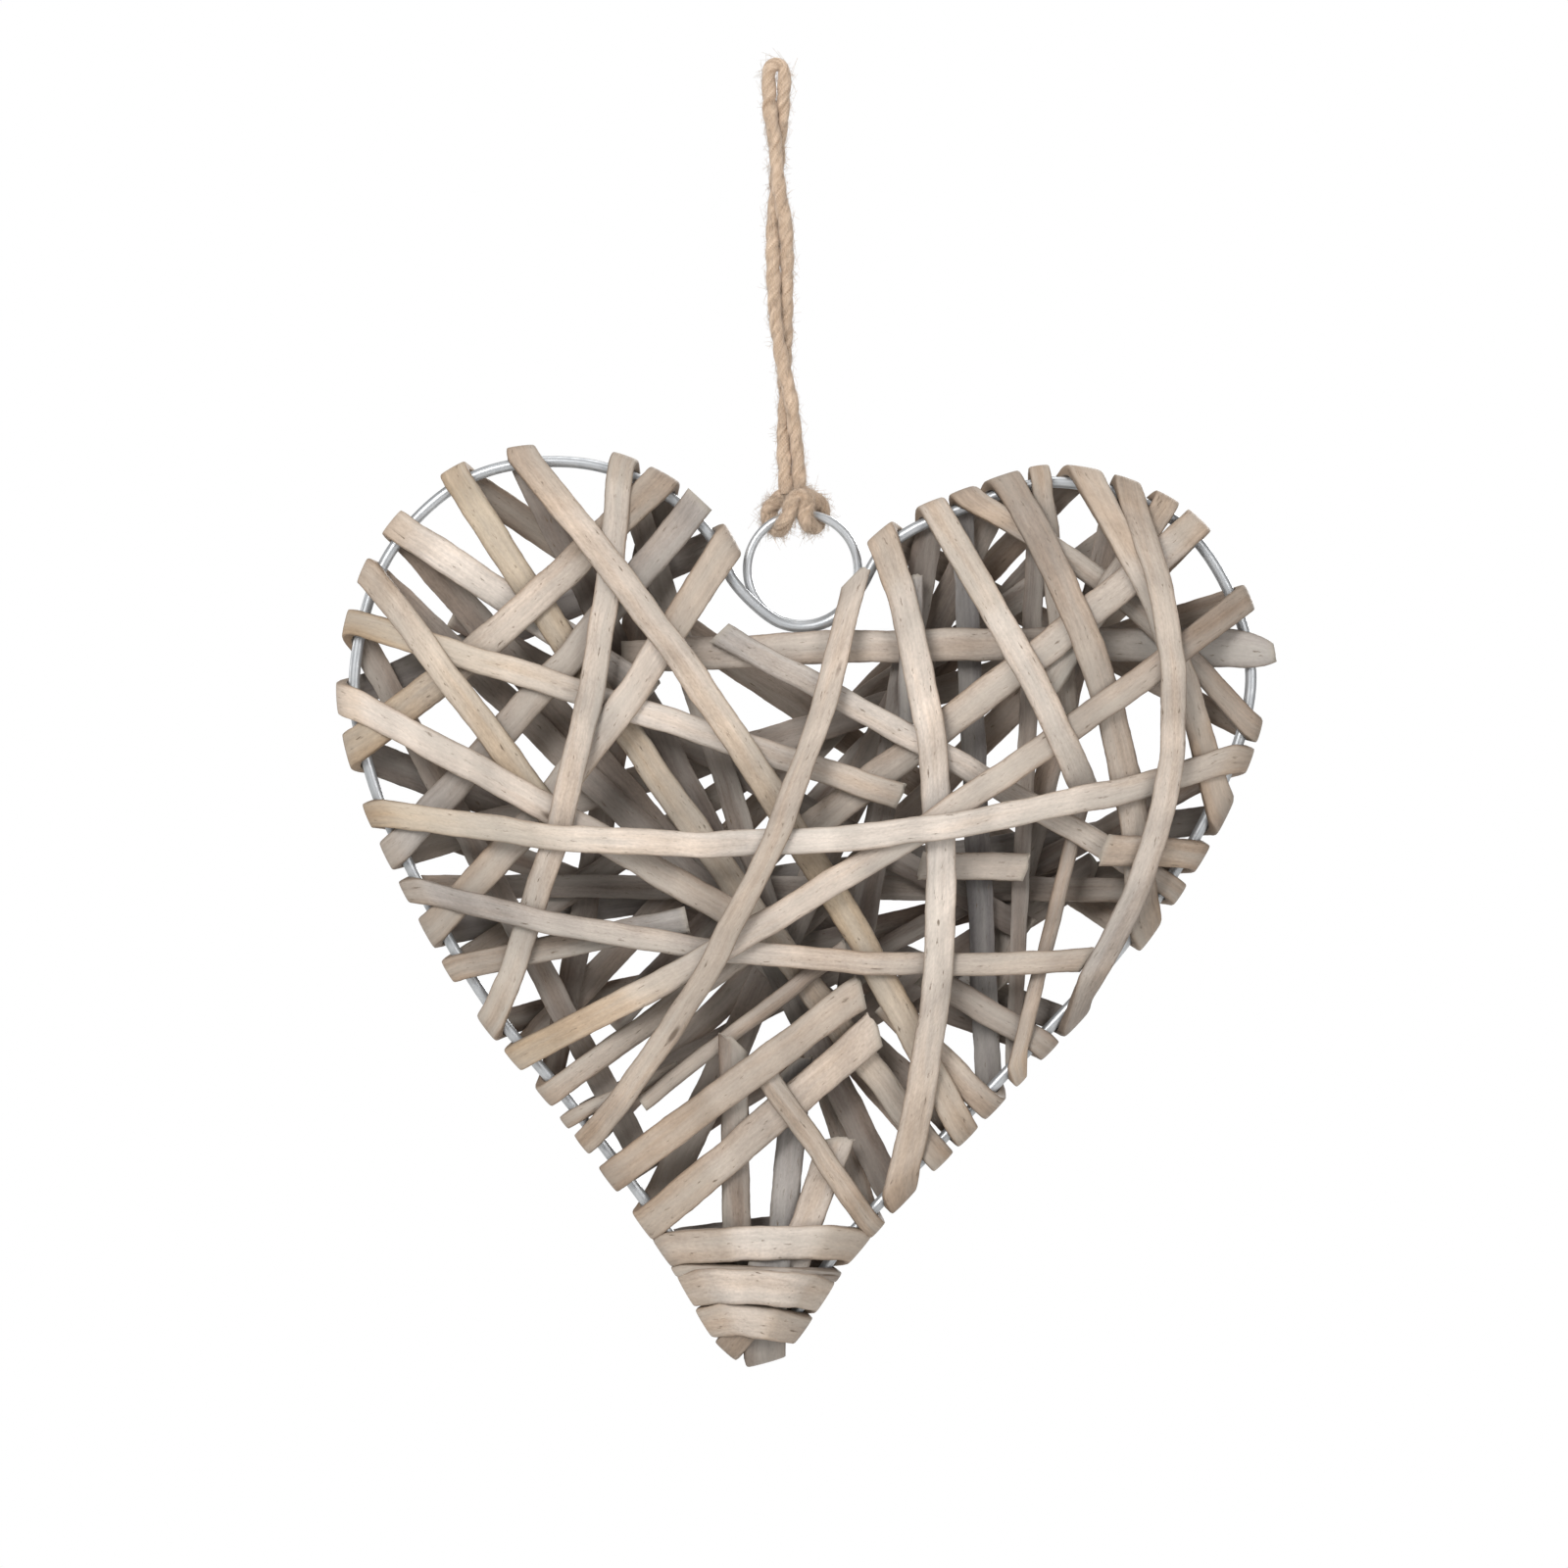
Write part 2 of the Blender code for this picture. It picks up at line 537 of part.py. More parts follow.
class Winding:
    """All the strips on the wire heart."""

    def __init__(self):
        self.wire = Wire()
        self.seats = {}
        self.fronts = []
        for from_seat, to_seat, from_share, to_share, width, bow in FRONT_RUNS:
            widths = [width * STRIP_WIDTH] * 2
            side_bow = bow * HEART_WIDTH
            self.fronts.append(self.plan("front", from_seat, to_seat, from_share, to_share, widths, side_bow))
        self.backs = []
        for from_seat, to_seat, from_share, to_share in BACK_RUNS:
            known = [self.seats[seat].width for seat in (from_seat, to_seat) if seat in self.seats]
            plain = known[0] if known else LOOSE_WIDTH_SHARE * STRIP_WIDTH
            widths = [
                self.seats[seat].width if seat in self.seats else plain for seat in (from_seat, to_seat)
            ]
            self.backs.append(self.plan("back", from_seat, to_seat, from_share, to_share, widths, 0.0))
        self.spread_seats()

    def plan(self, side, from_seat, to_seat, from_share, to_share, widths, bow):
        ends = []
        for end, (degrees, share) in enumerate(((from_seat, from_share), (to_seat, to_share))):
            seat = Seat(self.wire.station(degrees), widths[end])
            if share == end or not 0 <= share <= 1:
                seat = self.seats.setdefault(degrees, seat)
                seat.wrapped = seat.wrapped or share == end
            ends.append(seat)
        shares = (from_share, to_share)
        return Run(side, ends, shares, widths, bow)

    def spread_seats(self):
        """Moves crowded seats apart along the wire until the strips lie side by side on it."""
        for _ in range(120):
            for run in self.fronts + self.backs:
                run.settle(self.wire)
            order = sorted(self.seats.values(), key=lambda seat: seat.station)
            for one, other in zip(order, order[1:]):
                lack = 0.0
                for turn in (0.0, math.pi / 2, math.pi):
                    room = other.station_at(turn) - one.station_at(turn)
                    lack = max(lack, one.reach_at(turn) + other.reach_at(turn) + SEAT_CLEARANCE - room)
                one.station -= lack / 2
                other.station += lack / 2
            wrapped = [seat for seat in order if seat.wrapped]
            wrapped[0].station += self.ring_lack(wrapped[0])
            wrapped[-1].station -= self.ring_lack(wrapped[-1])

    def ring_lack(self, seat):
        """How much nearer to the ring a strip goes round the wire than its clearance allows."""
        reach = max(seat.reach_at(turn) for turn in (0.0, math.pi / 2, math.pi))
        places = [self.wire.frame(seat.station + reach * side)[0] for side in (-1, 0, 1)]
        near = min(np.linalg.norm(place - self.wire.ring_centre) for place in places)
        wanted = RING_OUTER_DIAMETER / 2 + seat.radius + STRIP_THICKNESS + TOUCH
        return max(0.0, wanted - near)

    def lay_all(self):
        """Lays the front, then the back. A seat whose back run comes later keeps its place on the pile."""
        front = Pile(self.wire)
        back = Pile(self.wire)
        turns = np.linspace(0, 2 * math.pi, 180, endpoint=False)
        round_once = np.column_stack([np.cos(turns), np.sin(turns)])
        ring = self.wire.ring_centre + self.wire.ring_radius * round_once
        for pile, sign in ((front, 1), (back, -1)):
            pile.add_round(self.wire.points, WIRE_DIAMETER / 2)
            pile.add_round(ring, RING_WIRE_DIAMETER / 2, sign * ring_depth())
        for run in self.fronts:
            run.sections = run.lay(front, self.wire)
            front.add_band(run.sections)
        waiting = {}
        for run in self.backs:
            for end in (0, 1):
                if run.wraps(end):
                    waiting[id(run.ends[end])] = np.array(run.round_the_wire(end, 0.0, self.wire))
        for run in self.backs:
            for seat in run.ends:
                waiting.pop(id(seat), None)
            bare = back.top.copy()
            for sections in waiting.values():
                back.add_band(sections)
            run.sections = run.lay(back, self.wire)
            back.top = bare
            back.add_band(run.sections)

    def strips(self):
        """Chains the runs into strips, each a list of cross-sections from one cut end to the other."""
        runs_at = {}
        for run in self.fronts + self.backs:
            for end in (0, 1):
                if run.wraps(end):
                    runs_at.setdefault(id(run.ends[end]), []).append((run, end))
        left = list(self.fronts) + list(self.backs)
        made = []
        while left:
            starts = [(run, end) for run in left for end in (0, 1)
                      if not run.wraps(end) or len(runs_at[id(run.ends[end])]) == 1]
            run, end = starts[0]
            made.append(self.follow(run, end, runs_at, left))
        return made

    def follow(self, run, entry, runs_at, left):
        """Walks one strip. A corner keeps its side of the strip, so a run that is entered at its far
        end, or lies on the back, may list its corners mirrored."""
        sections = []
        edge = 1
        while True:
            left.remove(run)
            own = [self.in_space(section, run.side) for section in run.sections]
            if entry == 1:
                own = own[::-1]
            mirrored = edge < 0
            own = [mirror(section) if mirrored else section for section in own]
            leaving = 1 - entry
            sections += own[1:] if sections else own
            if not run.wraps(leaving):
                return sections
            seat = run.ends[leaving]
            following = [pair for pair in runs_at[id(seat)] if pair[0] is not run]
            if not following:
                return sections
            now_left = self.edge_on_wire(run, leaving) * edge
            run, entry = following[0]
            edge = int(math.copysign(1, now_left * self.edge_on_wire(run, entry)))

    def edge_on_wire(self, run, end):
        """On which side along the wire the run's left edge lies at that end."""
        heading, left = run.heading(end)
        point, along, out = self.wire.frame(run.ends[end].crossing(run.side))
        return math.copysign(1, along @ left)

    def in_space(self, section, side):
        sign = -1 if side == "front" else 1
        return [Vector((x, sign * height, z)) for x, z, height in section]


def mirror(section):
    """The same cross-section with its left and right corners exchanged."""
    return [section[1], section[0], section[4], section[3], section[2]]


def ring_depth():
    """How far the ring lies behind the wire that it hangs on."""
    return (WIRE_DIAMETER + RING_WIRE_DIAMETER) / 2 + TOUCH


def strip_object(name, sections, home, colour):
    """Lofts one strip through its cross-sections."""
    mesh = bmesh.new()
    rings = [[mesh.verts.new(corner) for corner in section] for section in sections]
    for ring, following in zip(rings, rings[1:]):
        for index in range(5):
            after = (index + 1) % 5
            mesh.faces.new((ring[index], ring[after], following[after], following[index]))
    mesh.faces.new(rings[0][::-1])
    mesh.faces.new(rings[-1])
    bmesh.ops.triangulate(mesh, faces=mesh.faces)
    bmesh.ops.recalc_face_normals(mesh, faces=mesh.faces)
    return finish(name, mesh, home, material(name, colour, 0.8))


def finish(name, mesh, home, look):
    """Turns a bmesh into a named object."""
    data = bpy.data.meshes.new(name)
    mesh.to_mesh(data)
    mesh.free()
    data.materials.append(look)
    made = bpy.data.objects.new(name, data)
    home.objects.link(made)
    return made


def tube(name, points, diameter, home, look, closed=False, resolution=2):
    """A round bar or cord along points, as a curve with filled caps."""
    curve = bpy.data.curves.new(name, "CURVE")
    curve.dimensions = "3D"
    curve.bevel_depth = diameter / 2
    curve.bevel_resolution = resolution
    curve.use_fill_caps = not closed
    spline = curve.splines.new("POLY")
    spline.points.add(len(points) - 1)
    for target, point in zip(spline.points, points):
        target.co = (*point, 1.0)
    spline.use_cyclic_u = closed
    curve.materials.append(look)
    made = bpy.data.objects.new(name, curve)
    home.objects.link(made)
    return made


def wire_object(wire, home):
    """The closed wire heart, with more points where it bends more."""
    picked = pick_points(np.vstack([wire.points, wire.points[:1]]), WIRE_POINTS + 1)[:-1]
    points = [(x, 0.0, z) for x, z in picked]
    zinc = material("galvanised", (0.62, 0.64, 0.66), 0.35, 1.0)
    return tube("wire_heart", points, WIRE_DIAMETER, home, zinc, True)


def ring_object(wire, home):
    """The steel ring that lies against the back of the wire in the notch."""
    x, z = wire.ring_centre
    bpy.ops.mesh.primitive_torus_add(
        major_segments=28, minor_segments=8,
        major_radius=wire.ring_radius, minor_radius=RING_WIRE_DIAMETER / 2,
        location=(x, ring_depth(), z), rotation=(math.pi / 2, 0, 0))
    ring = bpy.context.object
    ring.name = "hanging_ring"
    ring.data.name = "hanging_ring"
    for holder in list(ring.users_collection):
        holder.objects.unlink(ring)
    home.objects.link(ring)
    ring.data.materials.append(material("steel_ring", (0.60, 0.61, 0.62), 0.3, 1.0))
    return ring


def hitch_path(wire):
    """The turns of twine side by side round the top of the ring."""
    reach = RING_WIRE_DIAMETER / 2 + TOUCH + TWINE_DIAMETER / 2
    x, z = wire.ring_centre
    count = int(HITCH_TURNS * 10)
    spread = HITCH_PITCH * HITCH_TURNS / wire.ring_radius
    turns = []
    for step in range(count + 1):
        share = step / count
        about = math.pi / 2 + spread / 2 - spread * share
        spin = 2 * math.pi * HITCH_TURNS * share
        radial = wire.ring_radius - reach * math.sin(spin)
        turns.append((x + radial * math.cos(about), ring_depth() - reach * math.cos(spin),
                      z + radial * math.sin(about)))
    return turns


def loop_path():
    """Up one leg of the twine, over the hook and down the other leg. The legs turn about each other."""
    bend = HOOK_RADIUS + TWINE_DIAMETER / 2
    apart = (TWINE_DIAMETER + TOUCH) / 2
    top = -TWINE_DIAMETER / 2 - bend
    foot = -TWINE_DROP + TWINE_DIAMETER + 2 * TOUCH
    legs = []
    for side in (-1, 1):
        leg = []
        for drop, lean, turn in TWINE_COURSE:
            spread = side * max(apart, bend - (bend - apart) * drop * 12)
            turned = math.radians(turn)
            leg.append((lean * TWINE_LEAN + spread * math.cos(turned),
                        ring_depth() * drop + spread * math.sin(turned), top + (foot - top) * drop))
        legs.append(leg)
    middle = TWINE_COURSE[0][1] * TWINE_LEAN
    turns = np.radians([45, 90, 135])
    over = [(middle - bend * math.cos(turn), 0.0, top + bend * math.sin(turn)) for turn in turns]
    route = np.array(legs[0][::-1] + over + legs[1])
    route = np.vstack([2 * route[0] - route[1], route, 2 * route[-1] - route[-2]])
    return pick_points(smooth_curve(route, 20), TWINE_POINTS)


def build():
    home = fresh_collections()
    winding = Winding()
    winding.lay_all()
    wire_object(winding.wire, home)
    ring_object(winding.wire, home)
    jute = material("jute", (0.62, 0.44, 0.26), 0.95)
    tube("jute_loop", loop_path(), TWINE_DIAMETER, home, jute)
    tube("jute_hitch", hitch_path(winding.wire), TWINE_DIAMETER, home, jute)
    for number, sections in enumerate(winding.strips()):
        colour = STRIP_COLOURS[number % len(STRIP_COLOURS)]
        strip_object(f"willow_strip_{number + 1:02d}", sections, home, colour)
    return winding


WINDING = build()
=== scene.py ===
"""Wicker heart of split willow on bent wire, hung by a twine loop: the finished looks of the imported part."""
import itertools
import math

import bpy
import numpy as np
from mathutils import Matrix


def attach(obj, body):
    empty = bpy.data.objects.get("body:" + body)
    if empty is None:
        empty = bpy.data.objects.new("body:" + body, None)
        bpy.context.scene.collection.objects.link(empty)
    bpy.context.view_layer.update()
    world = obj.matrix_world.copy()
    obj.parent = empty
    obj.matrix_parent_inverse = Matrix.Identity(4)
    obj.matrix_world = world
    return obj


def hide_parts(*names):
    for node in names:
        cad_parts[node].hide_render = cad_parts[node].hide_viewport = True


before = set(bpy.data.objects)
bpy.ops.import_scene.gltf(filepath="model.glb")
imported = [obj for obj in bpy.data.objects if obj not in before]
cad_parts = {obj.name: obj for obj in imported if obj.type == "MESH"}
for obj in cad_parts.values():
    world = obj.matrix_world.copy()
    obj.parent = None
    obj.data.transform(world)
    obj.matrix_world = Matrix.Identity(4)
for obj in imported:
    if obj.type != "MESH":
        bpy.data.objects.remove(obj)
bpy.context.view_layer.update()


# Camera. It looks straight at the front of the heart, level with the middle of the photograph, from
# far enough back that the heart is seen nearly without perspective.
VIEW_WIDTH = 0.3323
VIEW_ACROSS = 0.00146
VIEW_HEIGHT = -0.15378
LENS = 200.0
FILM = 36.0
eye = bpy.data.cameras.new("eye")
eye.lens = LENS
eye.sensor_width = FILM
eye.clip_end = 20.0
camera = bpy.data.objects.new("camera", eye)
camera.location = (VIEW_ACROSS, -VIEW_WIDTH * LENS / FILM, VIEW_HEIGHT)
camera.rotation_euler = (math.pi / 2, 0, 0)
bpy.context.scene.collection.objects.link(camera)
bpy.context.scene.camera = camera


# Twine loop. One length of two-ply jute goes up, bends over whatever the heart hangs from and comes
# down again. Its two legs are twisted loosely about each other down to the hitch on the ring.
TWINE = 0.0026
DROP = 0.0955
LEAN = 0.0054
HOOK = 0.0003
GAP = 0.0003
RING_DEPTH = 0.00245
PLY_PITCH = 0.0105
LOOP_SWELL = 1.06
LOOP_STEP = 0.0004
TWINE_SIDES = 28
# The outline of both plies, in shares of the radius: the hollow between them, how far the plies rise
# above it, and a power that makes them full
PLY_HOLLOW, PLY_RISE, PLY_FULLNESS = 0.86, 0.26, 0.7
# Two waves of the twine's thickness: by how much, over what length, and how far the wave is shifted
UNEVEN = ((0.05, 0.0041, 0.0), (0.03, 0.0013, 1.0))
# Share of the drop within which the legs come together below the bend
BEND_SHARE = 1 / 12
# Share of the drop, share of the lean, and how far the pair has turned about itself, in degrees
TWINE_COURSE = np.array([
    (0.00, -0.02, 0), (0.06, -0.03, 6), (0.10, -0.03, 28), (0.15, -0.02, 68), (0.23, 0.00, 90),
    (0.30, 0.03, 112), (0.36, 0.08, 152), (0.43, 0.11, 180), (0.50, 0.12, 198), (0.57, 0.14, 216),
    (0.64, 0.19, 243), (0.71, 0.28, 270), (0.77, 0.42, 292), (0.83, 0.46, 316), (0.89, 0.52, 342),
    (0.95, 0.58, 358), (1.00, 0.62, 360),
])


def even_steps(points, step):
    """Points one step apart along a curve given as many points."""
    runs = np.concatenate([[0], np.cumsum(np.linalg.norm(np.diff(points, axis=0), axis=1))])
    marks = np.linspace(0, runs[-1], max(2, int(round(runs[-1] / step)) + 1))
    return np.column_stack([np.interp(marks, runs, points[:, axis]) for axis in range(points.shape[1])])


def smooth_through(points, step, fineness=40):
    """Even steps along the smooth curve from the second point to the last but one. Between two points
    the curve blends the lines through them and their neighbours, each weighed by how near it is, with
    the square root of each distance as its measure. The outermost two points only give directions."""
    a, b, c, d = (points[n:len(points) - 3 + n, None] for n in range(4))
    t1 = np.linalg.norm(b - a, axis=2, keepdims=True) ** 0.5
    t2 = t1 + np.linalg.norm(c - b, axis=2, keepdims=True) ** 0.5
    t3 = t2 + np.linalg.norm(d - c, axis=2, keepdims=True) ** 0.5
    t = t1 + (t2 - t1) * np.linspace(0, 1, fineness, endpoint=False)[None, :, None]
    ab = a + (b - a) * t / t1
    bc = b + (c - b) * (t - t1) / (t2 - t1)
    cd = c + (d - c) * (t - t2) / (t3 - t2)
    abc = ab + (bc - ab) * t / t2
    bcd = bc + (cd - bc) * (t - t1) / (t3 - t1)
    fine = (abc + (bcd - abc) * (t - t1) / (t2 - t1)).reshape(-1, points.shape[1])
    return even_steps(np.vstack([fine, points[-2:-1]]), step)


def with_ends(points):
    """The points with one more before the first and after the last, each as far on as the last step."""
    return np.vstack([2 * points[0] - points[1], points, 2 * points[-1] - points[-2]])


def carried_frame(path, side):
    """Two unit directions across a path at each point, each the one before it, turned as little as the
    path's own bend asks."""
    along = np.gradient(path, axis=0)
    along /= np.linalg.norm(along, axis=1)[:, None]
    across = np.empty_like(path)
    for row, ahead in enumerate(along):
        side = side - ahead * (side @ ahead)
        side = side / np.linalg.norm(side)
        across[row] = side
    return across, np.cross(along, across)


def skin(name, rows, along, round_it, closed=False, marks=None):
    """A mesh through rows of points, each row once round the piece, with a fan over each end. The map
    "grain" holds the length along and the length round it, in metres. Marks are given for each point."""
    count, around = rows.shape[:2]
    last = count if closed else count - 1
    i, j = np.meshgrid(np.arange(last), np.arange(around), indexing="ij")
    after, beside = (i + 1) % count, (j + 1) % around
    quads = np.stack([i * around + j, i * around + beside, after * around + beside, after * around + j], -1)
    quads = quads.reshape(-1, 4)
    u0, u1 = along[i], along[i + 1]
    v0, v1 = round_it[i, j], round_it[i, j + 1]
    maps = np.stack([u0, v0, u0, v1, u1, v1, u1, v0], -1).reshape(-1, 4, 2)
    points = rows.reshape(-1, 3)
    faces = quads.tolist()
    map_list = maps.reshape(-1, 2)
    ends = 0
    if not closed:
        points = np.vstack([points, rows[0].mean(axis=0), rows[-1].mean(axis=0)])
        ring = np.arange(around)
        first = np.stack([(ring + 1) % around, ring, np.full(around, len(points) - 2)], -1)
        base = (count - 1) * around
        final = np.stack([base + ring, base + (ring + 1) % around, np.full(around, len(points) - 1)], -1)
        faces += first.tolist() + final.tolist()
        for row in (0, count - 1):
            spots = [np.full((around, 3), along[row]), np.repeat(round_it[row, :around, None], 3, 1)]
            map_list = np.vstack([map_list, np.stack(spots, -1).reshape(-1, 2)])
        ends = 2 * around
    a, b, c, d = (points[quads[:, corner]] for corner in range(4))
    inside_out = np.einsum("ij,ij->", a, np.cross(b, c)) + np.einsum("ij,ij->", a, np.cross(c, d)) < 0
    mesh = bpy.data.meshes.new(name)
    mesh.from_pydata(points, [], faces)
    mesh.uv_layers.new(name="grain").data.foreach_set("uv", map_list.ravel())
    smooth = np.ones(len(faces), bool)
    smooth[len(faces) - ends:] = False
    mesh.polygons.foreach_set("use_smooth", smooth)
    for mark, values in (marks or {}).items():
        kind = "FLOAT_COLOR" if values.shape[-1] == 4 else "FLOAT"
        layer = mesh.attributes.new(mark, kind, "POINT")
        flat = values.reshape(-1, values.shape[-1])
        if not closed:
            flat = np.vstack([flat, values[0].mean(axis=0), values[-1].mean(axis=0)])
        layer.data.foreach_set("color" if kind == "FLOAT_COLOR" else "value", flat.ravel())
    if inside_out:
        mesh.flip_normals()
    mesh.update()
    made = bpy.data.objects.new(name, mesh)
    bpy.context.scene.collection.objects.link(made)
    return made


def twine_skin(name, path, side, swell):
    """A two-ply cord along a path: its radius swells and sinks twice round, and that lobed outline
    turns once in each ply pitch. It also wavers along the length. Swell makes the cord that much
    thicker."""
    length = np.concatenate([[0], np.cumsum(np.linalg.norm(np.diff(path, axis=0), axis=1))])
    round_it = np.linspace(0, 2 * np.pi, TWINE_SIDES + 1)
    twist = 2 * np.pi * length / PLY_PITCH
    lobes = np.abs(np.cos(round_it[None, :] - twist[:, None]))
    uneven = 1 + sum(amount * np.sin(length / size + shift) for amount, size, shift in UNEVEN)[:, None]
    radius = swell * TWINE / 2 * (PLY_HOLLOW + PLY_RISE * lobes ** PLY_FULLNESS) * uneven
    across, over = carried_frame(path, side)
    ring = round_it[:-1, None]
    outward = np.cos(ring) * across[:, None] + np.sin(ring) * over[:, None]
    rows = path[:, None] + radius[:, :-1, None] * outward
    fibre = (round_it[None, :] - twist[:, None]) * TWINE / 2
    return skin(name, rows, length, fibre)


def loop_legs():
    """Both legs of the loop from the foot of the bend down: the pair's middle line, with each leg half
    the pair's width to its side, at the angle that the pair has turned."""
    bend = HOOK + TWINE / 2
    apart = (TWINE + GAP) / 2
    top = -TWINE / 2 - bend
    foot = -DROP + TWINE + 2 * GAP
    drop, lean, turn = TWINE_COURSE.T
    turned = np.radians(turn)
    spread = np.maximum(apart, bend - (bend - apart) * drop / BEND_SHARE)
    legs = [np.column_stack([lean * LEAN + side * spread * np.cos(turned),
                             RING_DEPTH * drop + side * spread * np.sin(turned), top + (foot - top) * drop])
            for side in (-1, 1)]
    arc = np.radians([45, 90, 135])
    middle = TWINE_COURSE[0, 1] * LEAN
    over = np.column_stack([middle - bend * np.cos(arc), 0 * arc, top + bend * np.sin(arc)])
    return legs, over


legs, over_hook = loop_legs()
loop_route = np.vstack([legs[0][::-1], over_hook, legs[1]])
loop_path = smooth_through(with_ends(loop_route), LOOP_STEP)
loop = twine_skin("twine_loop", loop_path, np.array([0.0, 1.0, 0.0]), LOOP_SWELL)


def sockets(group, wanted):
    """Gives a node group its named inputs and outputs."""
    for name, kind, way in wanted:
        group.interface.new_socket(name=name, in_out=way, socket_type=kind)


def link(tree, from_node, from_socket, to_node, to_socket):
    """Joins an output of one node to an input of another, each by its name or number."""
    tree.links.new(from_node.outputs[from_socket], to_node.inputs[to_socket])


def add(tree, kind, **values):
    """A node with its settings and its sockets' own values."""
    node = tree.nodes.new(kind)
    for name, value in values.items():
        if name.startswith("in_"):
            key = name[3:]
            node.inputs[int(key) if key.isdigit() else key.replace("_", " ")].default_value = value
        else:
            setattr(node, name, value)
    return node


def stretched_noise(tree, source, scale, detail=3.0, roughness=0.55):
    """Noise whose features are drawn out along the grain."""
    place = add(tree, "ShaderNodeMapping", in_Scale=(*scale, 1.0))
    tree.links.new(source, place.inputs["Vector"])
    noise = add(tree, "ShaderNodeTexNoise", in_Scale=1.0, in_Detail=detail, in_Roughness=roughness)
    link(tree, place, "Vector", noise, "Vector")
    return noise.outputs["Fac"]


def ramp(tree, source, low, high, from_value=0.0, to_value=1.0):
    """Spreads a value between two limits and clamps it."""
    node = add(tree, "ShaderNodeMapRange", in_1=low, in_2=high, in_3=from_value, in_4=to_value)
    tree.links.new(source, node.inputs[0])
    return node.outputs[0]


def blend_colour(tree, how, amount, first, second):
    """Mixes two colours; an amount or a colour is a number or a socket."""
    node = add(tree, "ShaderNodeMix", data_type="RGBA", blend_type=how)
    for socket, value in ((0, amount), (6, first), (7, second)):
        if isinstance(value, bpy.types.NodeSocket):
            tree.links.new(value, node.inputs[socket])
        else:
            node.inputs[socket].default_value = value
    return node.outputs[2]


def combine(tree, how, first, second):
    """Arithmetic on two numbers, each a number or a socket."""
    node = add(tree, "ShaderNodeMath", operation=how)
    for socket, value in ((0, first), (1, second)):
        if isinstance(value, bpy.types.NodeSocket):
            tree.links.new(value, node.inputs[socket])
        else:
            node.inputs[socket].default_value = value
    return node.outputs[0]


def as_colour(tree, value):
    """A grey colour from a number."""
    node = add(tree, "ShaderNodeCombineColor")
    for channel in range(3):
        tree.links.new(value, node.inputs[channel])
    return node.outputs[0]


def jute_group():
    """Jute fibres: fine and broad strands, pale and brown, that run with the twist."""
    group = bpy.data.node_groups.new("jute fibres", "ShaderNodeTree")
    sockets(group, [("Grain", "NodeSocketVector", "INPUT"), ("Pale", "NodeSocketColor", "INPUT"),
                    ("Brown", "NodeSocketColor", "INPUT"), ("Color", "NodeSocketColor", "OUTPUT"),
                    ("Height", "NodeSocketFloat", "OUTPUT")])
    inside, outside = group.nodes.new("NodeGroupInput"), group.nodes.new("NodeGroupOutput")
    grain = inside.outputs["Grain"]
    fine = stretched_noise(group, grain, (330, 2600), 3.0, 0.65)
    broad = stretched_noise(group, grain, (150, 800), 2.0)
    both = combine(group, "ADD", ramp(group, fine, 0.3, 0.7, 0.0, 0.6),
                   ramp(group, broad, 0.3, 0.7, 0.0, 0.4))
    tone = blend_colour(group, "MIX", both, inside.outputs["Brown"], inside.outputs["Pale"])
    group.links.new(tone, outside.inputs["Color"])
    group.links.new(fine, outside.inputs["Height"])
    return group


def new_material(name, roughness, metallic=0.0):
    """A material with its Principled shader and node tree."""
    made = bpy.data.materials.new(name)
    made.use_nodes = True
    shader = made.node_tree.nodes["Principled BSDF"]
    shader.inputs["Roughness"].default_value = roughness
    shader.inputs["Metallic"].default_value = metallic
    return made, made.node_tree, shader


def bump_from(tree, height, shader, strength, depth):
    """Lets a height stand out of the surface as relief."""
    bump = add(tree, "ShaderNodeBump", in_Strength=strength, in_Distance=depth)
    tree.links.new(height, bump.inputs["Height"])
    link(tree, bump, "Normal", shader, "Normal")


def jute_material(name, fibres, pale, brown):
    """Rough, slightly fuzzy jute, between a pale and a brown colour."""
    made, tree, shader = new_material(name, 0.92)
    shader.inputs["Specular IOR Level"].default_value = 0.15
    shader.inputs["Sheen Weight"].default_value = 0.25
    shader.inputs["Sheen Roughness"].default_value = 0.6
    grain = add(tree, "ShaderNodeUVMap", uv_map="grain")
    group = add(tree, "ShaderNodeGroup", node_tree=fibres)
    group.inputs["Pale"].default_value = (*pale, 1.0)
    group.inputs["Brown"].default_value = (*brown, 1.0)
    link(tree, grain, "UV", group, "Grain")
    link(tree, group, "Color", shader, "Base Color")
    bump_from(tree, group.outputs["Height"], shader, 0.9, 0.0003)
    return made


jute_fibres = jute_group()
jute = jute_material("jute twine", jute_fibres, (0.71, 0.552, 0.415), (0.24, 0.15, 0.09))
loop.data.materials.append(jute)


# Hitch on the ring. The end of the loop goes round the ring's top as a loose lark's head: the legs
# spread behind a bar of twine, go down behind the ring, under it and up in front, into the bar.
HITCH_MIDDLE = LEAN * TWINE_COURSE[-1, 1]
HITCH_SWELL = 1.24
HITCH_STEP = 0.0003
# Thickness of the ring's wire, which the hitch goes round, and the height of its middle at the top
RING_WIRE = 0.0019
RING_TOP = -DROP - RING_WIRE / 2


